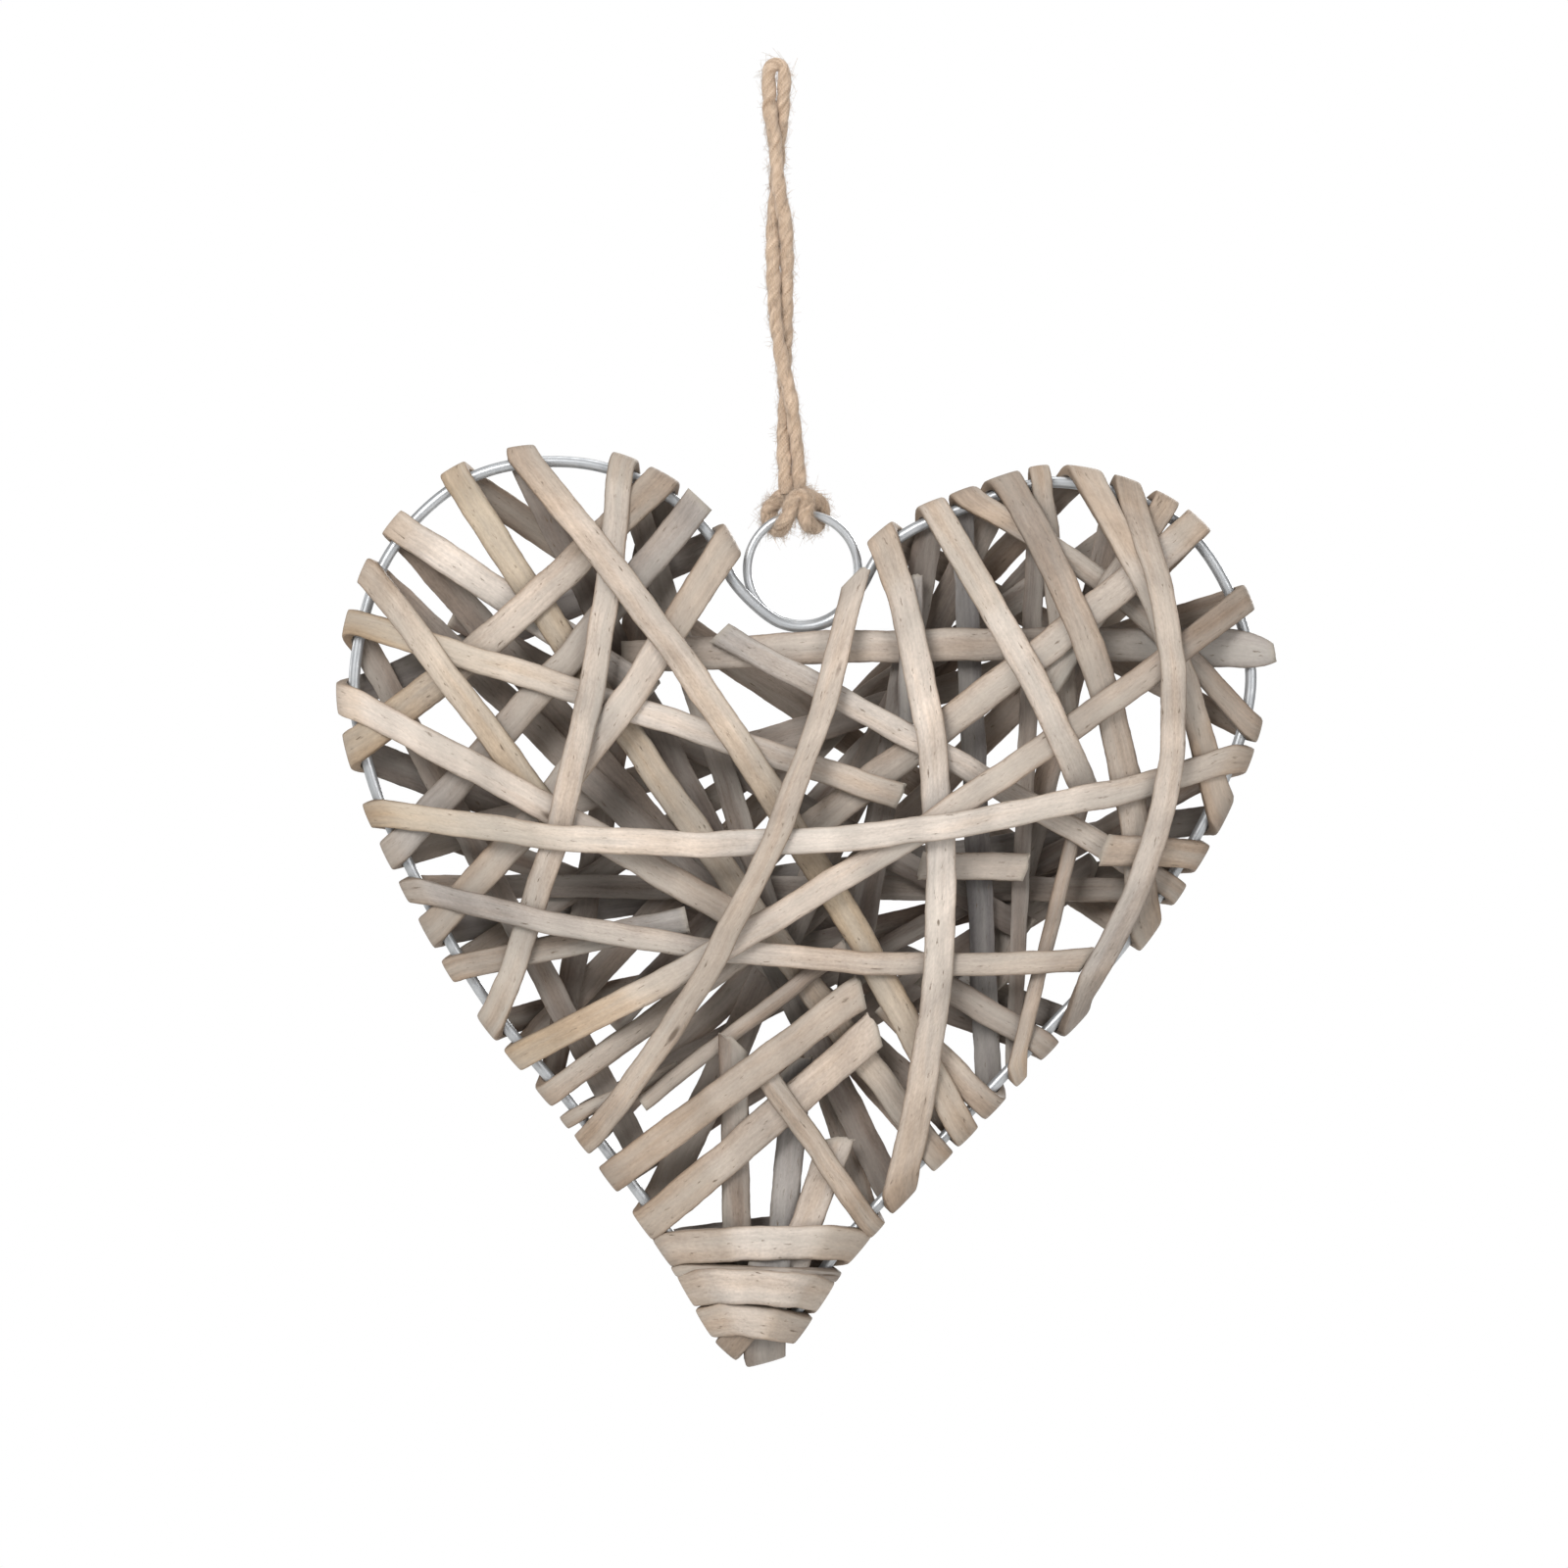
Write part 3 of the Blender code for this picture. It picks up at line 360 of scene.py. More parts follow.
def hitch_route():
    """The hitch as points (to the right of its middle, forward, up), in millimetres, from the foot of
    the left leg round the ring to the bar, and round the ring again to the foot of the right leg."""
    left = [
        (-1.45, 0.0, 4.15), (-2.3, -0.8, 3.5), (-3.8, -1.7, 2.5), (-4.9, -2.3, 0.9), (-4.9, -2.6, -1.1),
        (-3.9, -2.2, -2.7), (-2.8, -0.3, -3.2), (-2.0, 1.9, -2.3), (-1.0, 2.7, -0.4), (-0.5, 3.1, 1.6),
        (0.2, 3.4, 3.0),
    ]
    right = [
        (1.4, 3.5, 3.9), (2.7, 3.3, 3.4), (2.8, 3.0, 1.6), (2.4, 2.7, -0.2), (3.1, 1.9, -1.8),
        (4.0, -0.3, -2.6), (5.2, -2.1, -1.9), (6.1, -2.6, -0.2), (5.9, -2.2, 1.8), (4.5, -1.6, 3.2),
        (2.5, -0.8, 3.9), (1.45, 0.0, 4.15),
    ]
    return np.array(left + right) * (0.001, -0.001, 0.001) + (HITCH_MIDDLE, RING_DEPTH, RING_TOP)


hitch_points = hitch_route()
hitch_path = smooth_through(with_ends(hitch_points), HITCH_STEP)
hitch = twine_skin("twine_hitch", hitch_path, np.array([1.0, 0.0, 0.0]), HITCH_SWELL)
hitch.data.materials.append(jute)
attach(hitch, "root")
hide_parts("jute_hitch")
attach(loop, "root")
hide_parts("jute_loop")


# Loose fibres. Short ends of jute stand off the twine all along it, more of them about the hitch.
FIBRE_COUNTS = [3200, 3600]
FIBRE_REACH = 0.0015
FIBRE_ROWS = 5
FIBRE_RADIUS = 0.000045
FIBRE_TAPER = 0.5
FIBRE_SEED = 11
# In shares of the reach: the least height of a fibre, its drift along the twine and its stray
LEAST_HEIGHT = 0.25
DRIFT = 1.3
STRAY = 0.35
# Where a fibre starts, in shares of the twine's diameter from its middle
START_SHARE = 0.42


def fibre_strands(name, paths, counts, reach, seed):
    """Many short three-sided threads. Each starts just under the twine's skin and bends away from it:
    its points are start + out * height * share + along * drift * share squared + stray * share cubed."""
    rng = np.random.default_rng(seed)
    rows = []
    for path, count in zip(paths, counts):
        pick = rng.integers(1, len(path) - 1, count)
        along = path[pick + 1] - path[pick - 1]
        along /= np.linalg.norm(along, axis=1)[:, None]
        out = rng.normal(size=(count, 3))
        out -= along * np.einsum("ij,ij->i", out, along)[:, None]
        out /= np.linalg.norm(out, axis=1)[:, None]
        share = np.linspace(0, 1, FIBRE_ROWS)[None, :, None]
        height = (reach * (LEAST_HEIGHT + (1 - LEAST_HEIGHT) * rng.random(count) ** 2))[:, None, None]
        drift = (rng.normal(size=(count, 1, 1)) * reach * DRIFT) * along[:, None]
        stray = rng.normal(size=(count, 1, 3)) * reach * STRAY
        start = (path[pick] + out * TWINE * START_SHARE)[:, None]
        rows.append(start + out[:, None] * height * share + drift * share ** 2 + stray * share ** 3)
    line = np.concatenate(rows)
    ahead = np.gradient(line, axis=1)
    side = np.cross(ahead, (0.31, 0.77, 0.55))
    side /= np.linalg.norm(side, axis=2)[:, :, None]
    over = np.cross(ahead, side)
    over /= np.linalg.norm(over, axis=2)[:, :, None]
    thick = FIBRE_RADIUS * np.linspace(1.0, FIBRE_TAPER, FIBRE_ROWS)[None, :, None, None]
    turn = np.radians([0, 120, 240])[:, None]
    ring = line[:, :, None] + thick * (np.cos(turn) * side[:, :, None] + np.sin(turn) * over[:, :, None])
    count = len(ring)
    points = ring.reshape(-1, 3)
    each = 3 * FIBRE_ROWS
    hair, row, corner = np.meshgrid(np.arange(count), np.arange(FIBRE_ROWS - 1), np.arange(3), indexing="ij")
    base = hair * each + row * 3
    beside = (corner + 1) % 3
    quads = np.stack([base + corner, base + beside, base + 3 + beside, base + 3 + corner], -1).reshape(-1, 4)
    ends = np.arange(count)[:, None] * each
    caps = np.vstack([ends + (2, 1, 0), ends + (each - 3, each - 2, each - 1)])
    mesh = bpy.data.meshes.new(name)
    mesh.from_pydata(points, [], quads.tolist() + caps.tolist())
    mesh.uv_layers.new(name="grain")
    mesh.update()
    made = bpy.data.objects.new(name, mesh)
    bpy.context.scene.collection.objects.link(made)
    return made


fuzz = fibre_strands("loose_fibres", [loop_path, hitch_path], FIBRE_COUNTS, FIBRE_REACH, FIBRE_SEED)
loose_jute = jute_material("loose jute fibre", jute_fibres, (0.73, 0.575, 0.435), (0.51, 0.38, 0.27))
fuzz.data.materials.append(loose_jute)
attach(fuzz, "root")


# Ring. A closed ring of bright steel wire, welded shut, that hangs on the hitch and holds the heart at
# its notch. It lies against the back of the heart's wire.
RING_OUTER = 0.0254
ring_middle = np.array([LEAN, -DROP - RING_OUTER / 2])
ring_radius = (RING_OUTER - RING_WIRE) / 2
RING_STEPS = 160
RING_WOBBLE = 0.01
BAR_SIDES = 24
WOBBLES = 9
WOBBLE_START = 0.7


def bar_skin(name, path, thickness, wobble):
    """A closed round bar along a flat path: a circle carried square to it. The radius rises and falls
    nine times along the path, by the share of itself that wobble gives, as dipped wire is uneven."""
    ahead = np.roll(path, -1, axis=0) - np.roll(path, 1, axis=0)
    ahead /= np.linalg.norm(ahead, axis=1)[:, None]
    depth = np.array([0.0, 1.0, 0.0])
    out = np.cross(ahead, depth)
    steps = np.linalg.norm(np.roll(path, -1, axis=0) - path, axis=1)
    length = np.concatenate([[0], np.cumsum(steps)])
    turn = np.linspace(0, 2 * np.pi, BAR_SIDES + 1)
    rough = 1 + wobble * np.sin(np.arange(len(path)) * 2 * np.pi * WOBBLES / len(path) + WOBBLE_START)
    radius = (thickness / 2 * rough)[:, None, None]
    ring = turn[:-1, None]
    rows = path[:, None] + radius * (np.cos(ring) * out[:, None] + np.sin(ring) * depth)
    return skin(name, rows, length, np.tile(turn * thickness / 2, (len(path) + 1, 1)), closed=True)


def zinc_group():
    """Metal wire: a faint cloudy spangle and small dull spots, which are also rougher."""
    group = bpy.data.node_groups.new("dull metal", "ShaderNodeTree")
    sockets(group, [("Grain", "NodeSocketVector", "INPUT"), ("Bright", "NodeSocketColor", "INPUT"),
                    ("Dull", "NodeSocketColor", "INPUT"), ("Color", "NodeSocketColor", "OUTPUT"),
                    ("Roughness", "NodeSocketFloat", "OUTPUT")])
    inside, outside = group.nodes.new("NodeGroupInput"), group.nodes.new("NodeGroupOutput")
    grain = inside.outputs["Grain"]
    cloud = stretched_noise(group, grain, (420, 700), 3.0)
    spots = stretched_noise(group, grain, (900, 1500), 2.0)
    mixed = combine(group, "ADD", ramp(group, cloud, 0.35, 0.65, 0.0, 0.7),
                    ramp(group, spots, 0.60, 0.72, 0.0, 0.3))
    tone = blend_colour(group, "MIX", mixed, inside.outputs["Bright"], inside.outputs["Dull"])
    group.links.new(tone, outside.inputs["Color"])
    group.links.new(ramp(group, mixed, 0.0, 1.0, 0.38, 0.52), outside.inputs["Roughness"])
    return group


def metal_material(name, finish, bright, dull):
    """Zinc-coated or plain steel wire, between a bright and a dull colour."""
    made, tree, shader = new_material(name, 0.4, 0.7)
    grain = add(tree, "ShaderNodeUVMap", uv_map="grain")
    group = add(tree, "ShaderNodeGroup", node_tree=finish)
    group.inputs["Bright"].default_value = (*bright, 1.0)
    group.inputs["Dull"].default_value = (*dull, 1.0)
    link(tree, grain, "UV", group, "Grain")
    link(tree, group, "Color", shader, "Base Color")
    link(tree, group, "Roughness", shader, "Roughness")
    return made


metal_finish = zinc_group()
turns = np.linspace(0, 2 * np.pi, RING_STEPS, endpoint=False)
ring_path = np.column_stack([ring_middle[0] + ring_radius * np.cos(turns), np.full(RING_STEPS, RING_DEPTH),
                             ring_middle[1] + ring_radius * np.sin(turns)])
ring = bar_skin("steel_ring", ring_path, RING_WIRE, RING_WOBBLE)
ring_look = metal_material("bright ring steel", metal_finish, (0.52, 0.53, 0.54), (0.43, 0.44, 0.45))
ring.data.materials.append(ring_look)
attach(ring, "root")
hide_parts("hanging_ring")


# Wire heart. One length of galvanised wire is bent round a former to the heart, with its notch shaped
# to the ring, and closed at the tip under the willow.
WIRE = 0.0024
WIRE_WOBBLE = 0.006
WIRE_STEP = 0.0009
HEART_WIDTH = 0.190
HEART_HEIGHT = 0.1884
NOTCH_EASE = 0.0006
NOTCH_HEIGHT = 0.813
NOTCH_ANGLES = np.radians([-48, -69, -90, -111, -132])
# From the left of the notch down to the tip and up again, in shares of the heart's width and height
WIRE_COURSE = np.array([
    (-0.078, 0.866), (-0.097, 0.908), (-0.157, 0.965), (-0.252, 0.998), (-0.370, 0.981), (-0.461, 0.895),
    (-0.500, 0.755),
    (-0.481, 0.645), (-0.438, 0.544), (-0.355, 0.397), (-0.252, 0.269), (-0.140, 0.118), (-0.067, 0.008),
    (-0.038, 0.008), (0.046, 0.121), (0.218, 0.302), (0.363, 0.463), (0.464, 0.628), (0.500, 0.755),
    (0.472, 0.860), (0.412, 0.935), (0.284, 0.976), (0.177, 0.946), (0.116, 0.919),
    (0.085, 0.893), (0.065, 0.858),
])
notch_reach = ring_radius + NOTCH_EASE
tip = ring_middle[1] - notch_reach - NOTCH_HEIGHT * HEART_HEIGHT
notch = ring_middle + notch_reach * np.column_stack([np.cos(NOTCH_ANGLES), np.sin(NOTCH_ANGLES)])
sides = WIRE_COURSE * (HEART_WIDTH, HEART_HEIGHT) + (ring_middle[0], tip)
corners = np.vstack([notch[2:], sides, notch[:2]])
flat_course = smooth_through(np.vstack([corners[-1], corners, corners[:2]]), WIRE_STEP)[:-1]
wire_path = np.column_stack([flat_course[:, 0], np.zeros(len(flat_course)), flat_course[:, 1]])
wire = bar_skin("galvanised_heart", wire_path, WIRE, WIRE_WOBBLE)
wire_look = metal_material("galvanised wire", metal_finish, (0.48, 0.49, 0.50), (0.37, 0.385, 0.40))
wire.data.materials.append(wire_look)
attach(wire, "root")
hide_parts("wire_heart")


# Willow strips. Split willow, flat inside and rounded outside, is wound wet round the wire in 26
# lengths and washed grey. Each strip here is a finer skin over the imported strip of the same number.
# A packed strip's section: the shoulders' distance as a share of the width, and their height as a share
# of the crown's
SHOULDER = 0.78
EDGE = 0.6
# Half the width and the thickness by which the map round a strip is measured
HALF_WIDTH = 0.003
THICKNESS = 0.0018
ROW_STEP = 0.0009
FEWEST_ROWS = 12
# How nearly five corners of a packed strip lie in one plane to count as a cut end, in metres
FLAT_WITHIN = 2e-6
# How squarely a section looks to the front or the back where the strip isn't folded round the wire,
# and over what length flat passes into folded
SQUARE = 0.995
FOLD_BLEND = 0.002
# Over what length a strip's course is smoothed at a fold, and how much more where it lies flat
FOLD_SMOOTHING = 0.0006
FLAT_SMOOTHING = 0.0015
# How much thicker a strip bulges where it is folded
FOLD_BULGE = 0.35
# A strip's mean width and thickness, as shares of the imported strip's
WIDTH_SHARE = 0.985
THICKNESS_SHARE = 0.97
# By what amount, and over what length, the strips' course, width, thickness and outline wander
COURSE_WANDER = (0.00022, 0.031)
WIDTH_WANDER = (0.035, 0.026)
THICKNESS_WANDER = (0.05, 0.019)
OUTLINE_WANDER = (0.02, 0.005)
# Both brightness waves of a strip, and over what length one run's colour passes into the next
BRIGHTNESS_WANDER = ((0.17, 0.045), (0.09, 0.013))
COLOUR_BLEND = 0.004
# By how much red, green and blue sink: on the inside of the strips as painted shade, at the folds, and under
# other strips as painted shade
PAINTED_UNDER_SHADE = (0.29, 0.29, 0.27)
FOLD_TINT = (0.13, 0.17, 0.22)
UNDER_STRIPS_SHADE_TINT = (0.33, 0.29, 0.24)
# The cut ends: how ragged and how skewed they are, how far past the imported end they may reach, how many
# rows are held back and by how much more each, and how much wider a strip is there and within what length
RAGGED = 0.0005
SKEW = 0.0006
END_REACH = 0.0003
END_ROWS = 9
END_ROW_STEP = 0.00005
END_FLARE = (0.06, 0.004)
# How much the row next to a cut end looks like the cut
NEXT_TO_CUT = 0.45
# How far apart, along and round, one strip's grain is taken from the pattern after another's
GRAIN_APART = (0.9, 0.05)
FIRST_SEED = 100
# The bands at the tip are wider than in the pack, so that hardly a gap is left between them
WIDER = {21: 1.45, 22: 1.6, 25: 1.6, 26: 1.52}
# The right end of this strip is trodden wide where it passes the wire, and tapers and droops beyond it.
# Each pair says how much, and within what length of the end.
FRAYED = 1
FRAY_SPREAD = (0.32, 0.022)
FRAY_TAPER = (0.75, 0.004)
FRAY_DROOP = (0.0011, 0.006)
# The willow's colours, as linear red, green and blue
FINISHES = {
    "pale": (0.738, 0.642, 0.562), "sand": (0.613, 0.513, 0.432), "tan": (0.473, 0.383, 0.309),
    "ochre": (0.543, 0.426, 0.300), "brown": (0.322, 0.253, 0.204), "grey": (0.352, 0.316, 0.291),
}
# Every order that a section's five corners can be read in
LABELLINGS = np.array(list(itertools.permutations(range(5))))


def cross_sections(node):
    """Reads a packed strip back as its cross-sections in order, from its left end: for each, both lower
    corners, a shoulder, the crown and the other shoulder. Corners within a micrometre of each other are
    one. It starts from a cut end, from which the corners follow one another in fives."""
    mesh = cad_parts[node].data
    spots = np.empty(len(mesh.vertices) * 3)
    mesh.vertices.foreach_get("co", spots)
    corner_of = np.empty(len(mesh.loops), int)
    mesh.loops.foreach_get("vertex_index", corner_of)
    keys, merged = np.unique(np.round(spots.reshape(-1, 3) * 1e6).astype(int), axis=0, return_inverse=True)
    points = keys * 1e-6
    faces = merged.reshape(-1)[corner_of].reshape(-1, 3)
    joined = np.zeros((len(points), len(points)), bool)
    for a, b in ((0, 1), (1, 2), (2, 0)):
        joined[faces[:, a], faces[:, b]] = joined[faces[:, b], faces[:, a]] = True
    attempts = (layers_from(five, joined) for five in end_candidates(faces, points))
    rings = next(found for found in attempts if found)
    first = points[rings[0]][LABELLINGS]
    middle = (first[:, 0] + first[:, 1]) / 2
    shoulders = first[:, 2] - first[:, 4] - SHOULDER * (first[:, 1] - first[:, 0])
    crown = (first[:, 2] + first[:, 4]) / 2 - middle - EDGE * (first[:, 3] - middle)
    misfit = np.linalg.norm(shoulders, axis=1) + np.linalg.norm(crown, axis=1)
    ordered = [first[np.argmin(misfit)]]
    for ring_of_five in rings[1:]:
        tries = points[ring_of_five][LABELLINGS]
        ordered.append(tries[np.argmin(np.square(tries - ordered[-1]).sum(axis=(1, 2)))])
    ordered = np.array(ordered)
    return ordered if ordered[0, 3, 0] < ordered[-1, 3, 0] else ordered[::-1]


def end_candidates(faces, points):
    """Sets of five corners in one plane that three joined triangles share, as a cut end's do."""
    for face in faces:
        beside = faces[(faces[:, :, None] == face).any(axis=2).sum(axis=1) == 2]
        for one, other in itertools.combinations(beside, 2):
            five = np.unique(np.concatenate([face, one, other]))
            if len(five) == 5:
                spread = points[five] - points[five].mean(axis=0)
                if np.linalg.svd(spread)[1][2] < FLAT_WITHIN:
                    yield five


def layers_from(five, joined):
    """Steps from one set of five corners to the next five that they are joined to, up to the far end."""
    seen = np.zeros(len(joined), bool)
    rings = [five]
    seen[five] = True
    while not seen.all():
        following = np.flatnonzero(joined[rings[-1]].any(axis=0) & ~seen)
        if len(following) != 5:
            return None
        rings.append(following)
        seen[following] = True
    return rings


def wander(length, amount, size, rng):
    """A smooth random wave along a length, between minus and plus the amount: three sines, of which the
    longest is of that size, and each has a random start."""
    total = 0
    for share, weight in ((1.0, 0.5), (0.57, 0.3), (0.31, 0.2)):
        total = total + weight * np.sin(2 * np.pi * (length / (size * share) + rng.random()))
    return amount * total


def softened(values, length, width):
    """Each row averaged with its neighbours by a bell curve of the width given for it. The values are
    mirrored past both ends, which so keep their places."""
    step = length[1] - length[0]
    pad = int(np.ceil(3 * width.max() / step))
    front = 2 * values[0] - values[1:pad + 1][::-1]
    back = 2 * values[-1] - values[-pad - 1:-1][::-1]
    long = np.concatenate([front, values, back])
    offsets = np.arange(-pad, pad + 1)
    bell = np.exp(-0.5 * np.square(offsets[None] * step / width[:, None]))
    bell /= bell.sum(axis=1)[:, None]
    picks = np.arange(len(values))[:, None] + offsets[None] + pad
    return np.einsum("ij,ijk->ik", bell, long[picks])


# A strip's outline, once round: share of half the width across, and share of the thickness up. On its
# long runs the top is domed. Where it folds round the wire it is pressed flat, with crisp corners.
half_top = np.array([
    (1.0, 0.10), (1.0, 0.32), (0.965, 0.49), (0.88, 0.64), (0.72, 0.79), (0.47, 0.92), (0.17, 0.99),
])
over_top = np.vstack([half_top, half_top[::-1] * (-1, 1)])
under = np.array([(-0.95, 0.0), (-0.5, 0.03), (0.0, 0.06), (0.5, 0.03), (0.95, 0.0)])
OUTLINE = np.vstack([over_top, under])
pressed_half = np.array([0.10, 0.70, 0.88, 0.94, 0.97, 0.99, 1.0])
PRESSED = np.concatenate([pressed_half, pressed_half[::-1], under[:, 1]])
# How much each point of the outline belongs to the darker edge, partly painted shade and partly a browner
# colour, and which points are on the inside
EDGE_FROM = 0.80
EDGE_UNDER = 0.2
edge_of_outline = np.clip((np.abs(OUTLINE[:, 0]) - EDGE_FROM) / (1 - EDGE_FROM), 0, 1)
edge_of_outline[len(over_top):] = EDGE_UNDER
under_side = np.concatenate([np.zeros(len(over_top)), np.ones(len(under))])


def strip_course(number):
    """A packed strip's length, middle line, half width and rise at even steps along it, softened along
    its length, and how flat it lies there and which way it faces. It is flat where its top looks
    squarely to the front or the back, and not where it folds round the wire."""
    sections = cross_sections(f"willow_strip_{number:02d}")
    middle = (sections[:, 0] + sections[:, 1]) / 2
    half = (sections[:, 0] - sections[:, 1]) / 2
    rise = sections[:, 3] - middle
    thickness = np.linalg.norm(rise, axis=1).mean()
    gone = np.concatenate([[0], np.cumsum(np.linalg.norm(np.diff(middle + rise / 2, axis=0), axis=1))])
    length = np.linspace(0, gone[-1], max(FEWEST_ROWS, int(gone[-1] / ROW_STEP)))
    table = np.hstack([middle, half, rise])
    fine = np.column_stack([np.interp(length, gone, table[:, column]) for column in range(9)])
    facing = -fine[:, 7] / np.linalg.norm(fine[:, 6:9], axis=1)
    square = (np.abs(facing) > SQUARE).astype(float)[:, None]
    flat = np.clip(softened(square, length, np.full(len(length), FOLD_BLEND))[:, 0] * 2 - 1, 0, 1)
    fine = softened(fine, length, FOLD_SMOOTHING + FLAT_SMOOTHING * flat)
    rise = fine[:, 6:9] / np.linalg.norm(fine[:, 6:9], axis=1)[:, None] * thickness
    return length, fine[:, 0:3], fine[:, 3:6], rise, flat, facing


def trim_ends(rows, middle, rng):
    """Cuts both ends: their last rows are held back to a plane across the strip, whose edge is ragged
    and slightly skewed."""
    for end, inward in ((0, 1), (len(rows) - 1, -1)):
        away = middle[end] - middle[end + inward]
        away /= np.linalg.norm(away)
        ragged = RAGGED * rng.uniform(-1, 1, len(OUTLINE)) + SKEW * rng.uniform(-1, 1) * OUTLINE[:, 0]
        for back in range(END_ROWS):
            row = end + back * inward
            past = (rows[row] - middle[end]) @ away - (ragged + END_REACH - END_ROW_STEP * back)
            rows[row] -= away * np.maximum(past, 0)[:, None]


def run_colours(tones, facing, length, rng):
    """The willow's colour along a strip. Each run between two folds goes evenly through its finishes,
    and the brightness wanders."""
    crossings = np.concatenate([[0], np.cumsum(np.diff(np.sign(facing + 1e-9)) != 0)])
    colours = np.empty((len(length), 3))
    for run, names in enumerate(tones.split()):
        part = np.flatnonzero(crossings == run)
        stops = np.array([FINISHES[name] for name in names.split("-")])
        marks = np.arange(len(stops))
        places = np.linspace(0, 1, len(part)) * (len(stops) - 1)
        colours[part] = np.column_stack([np.interp(places, marks, stops[:, axis]) for axis in range(3)])
    colours = softened(colours, length, np.full(len(length), COLOUR_BLEND))
    waves = sum(wander(length, *wave, rng) for wave in BRIGHTNESS_WANDER)
    return colours * (1 + waves)[:, None]


def strip_skin(number, tones):
    """The willow skin of one packed strip and its middle line. The rounded outline is carried along its
    course: point = middle + half * across + rise * up. Its course, width and thickness wander a
    little, and each strip takes its grain from another place of the pattern."""
    rng = np.random.default_rng(FIRST_SEED + number)
    length, middle, half, rise, flat, facing = strip_course(number)
    sideways = half / np.linalg.norm(half, axis=1)[:, None]
    middle = middle + sideways * (wander(length, *COURSE_WANDER, rng) * flat)[:, None]
    to_right = length[-1] - length
    if number == FRAYED:
        widen = 1 + FRAY_SPREAD[0] * np.exp(-np.square(to_right / FRAY_SPREAD[1]))
        widen -= FRAY_TAPER[0] * np.exp(-to_right / FRAY_TAPER[1])
        middle[:, 2] -= FRAY_DROOP[0] * np.exp(-to_right / FRAY_DROOP[1])
    else:
        widen = 1 + END_FLARE[0] * np.exp(-np.minimum(length, to_right) / END_FLARE[1])
    widen = WIDER.get(number, 1.0) * widen * (WIDTH_SHARE + wander(length, *WIDTH_WANDER, rng))
    half = half * widen[:, None]
    thick = THICKNESS_SHARE + wander(length, *THICKNESS_WANDER, rng) + FOLD_BULGE * (1 - flat)
    rise = rise * thick[:, None]
    up = OUTLINE[:, 1] * flat[:, None] + PRESSED * (1 - flat[:, None])
    across = OUTLINE[:, 0] * (1 + np.stack([wander(length, *OUTLINE_WANDER, rng) for _ in OUTLINE], 1))
    rows = middle[:, None] + half[:, None] * across[:, :, None] + rise[:, None] * up[:, :, None]
    trim_ends(rows, middle, rng)
    folded = 1 - (1 - flat)[:, None] * FOLD_TINT
    # Painted shade: the inside face of each strip is darkened as if it lay in shadow
    shaded = 1 - under_side[:, None] * PAINTED_UNDER_SHADE
    tone = (run_colours(tones, facing, length, rng) * folded)[:, None] * shaded
    tone = np.concatenate([tone, np.ones((*tone.shape[:2], 1))], axis=2)
    cut = np.zeros((*rows.shape[:2], 1))
    cut[[0, -1]] = 1.0
    cut[[1, -2]] = NEXT_TO_CUT
    edge = np.broadcast_to(edge_of_outline[None, :, None], (*rows.shape[:2], 1)).copy()
    lap = np.vstack([OUTLINE, OUTLINE[:1]]) * (HALF_WIDTH, THICKNESS)
    round_it = np.concatenate([[0], np.cumsum(np.linalg.norm(np.diff(lap, axis=0), axis=1))])
    round_it = np.tile(round_it + GRAIN_APART[1] * number, (len(length), 1))
    made = skin(f"willow_{number:02d}", rows, length + GRAIN_APART[0] * number, round_it,
                marks={"tone": tone, "cut": cut, "edge": edge})
    return made, middle


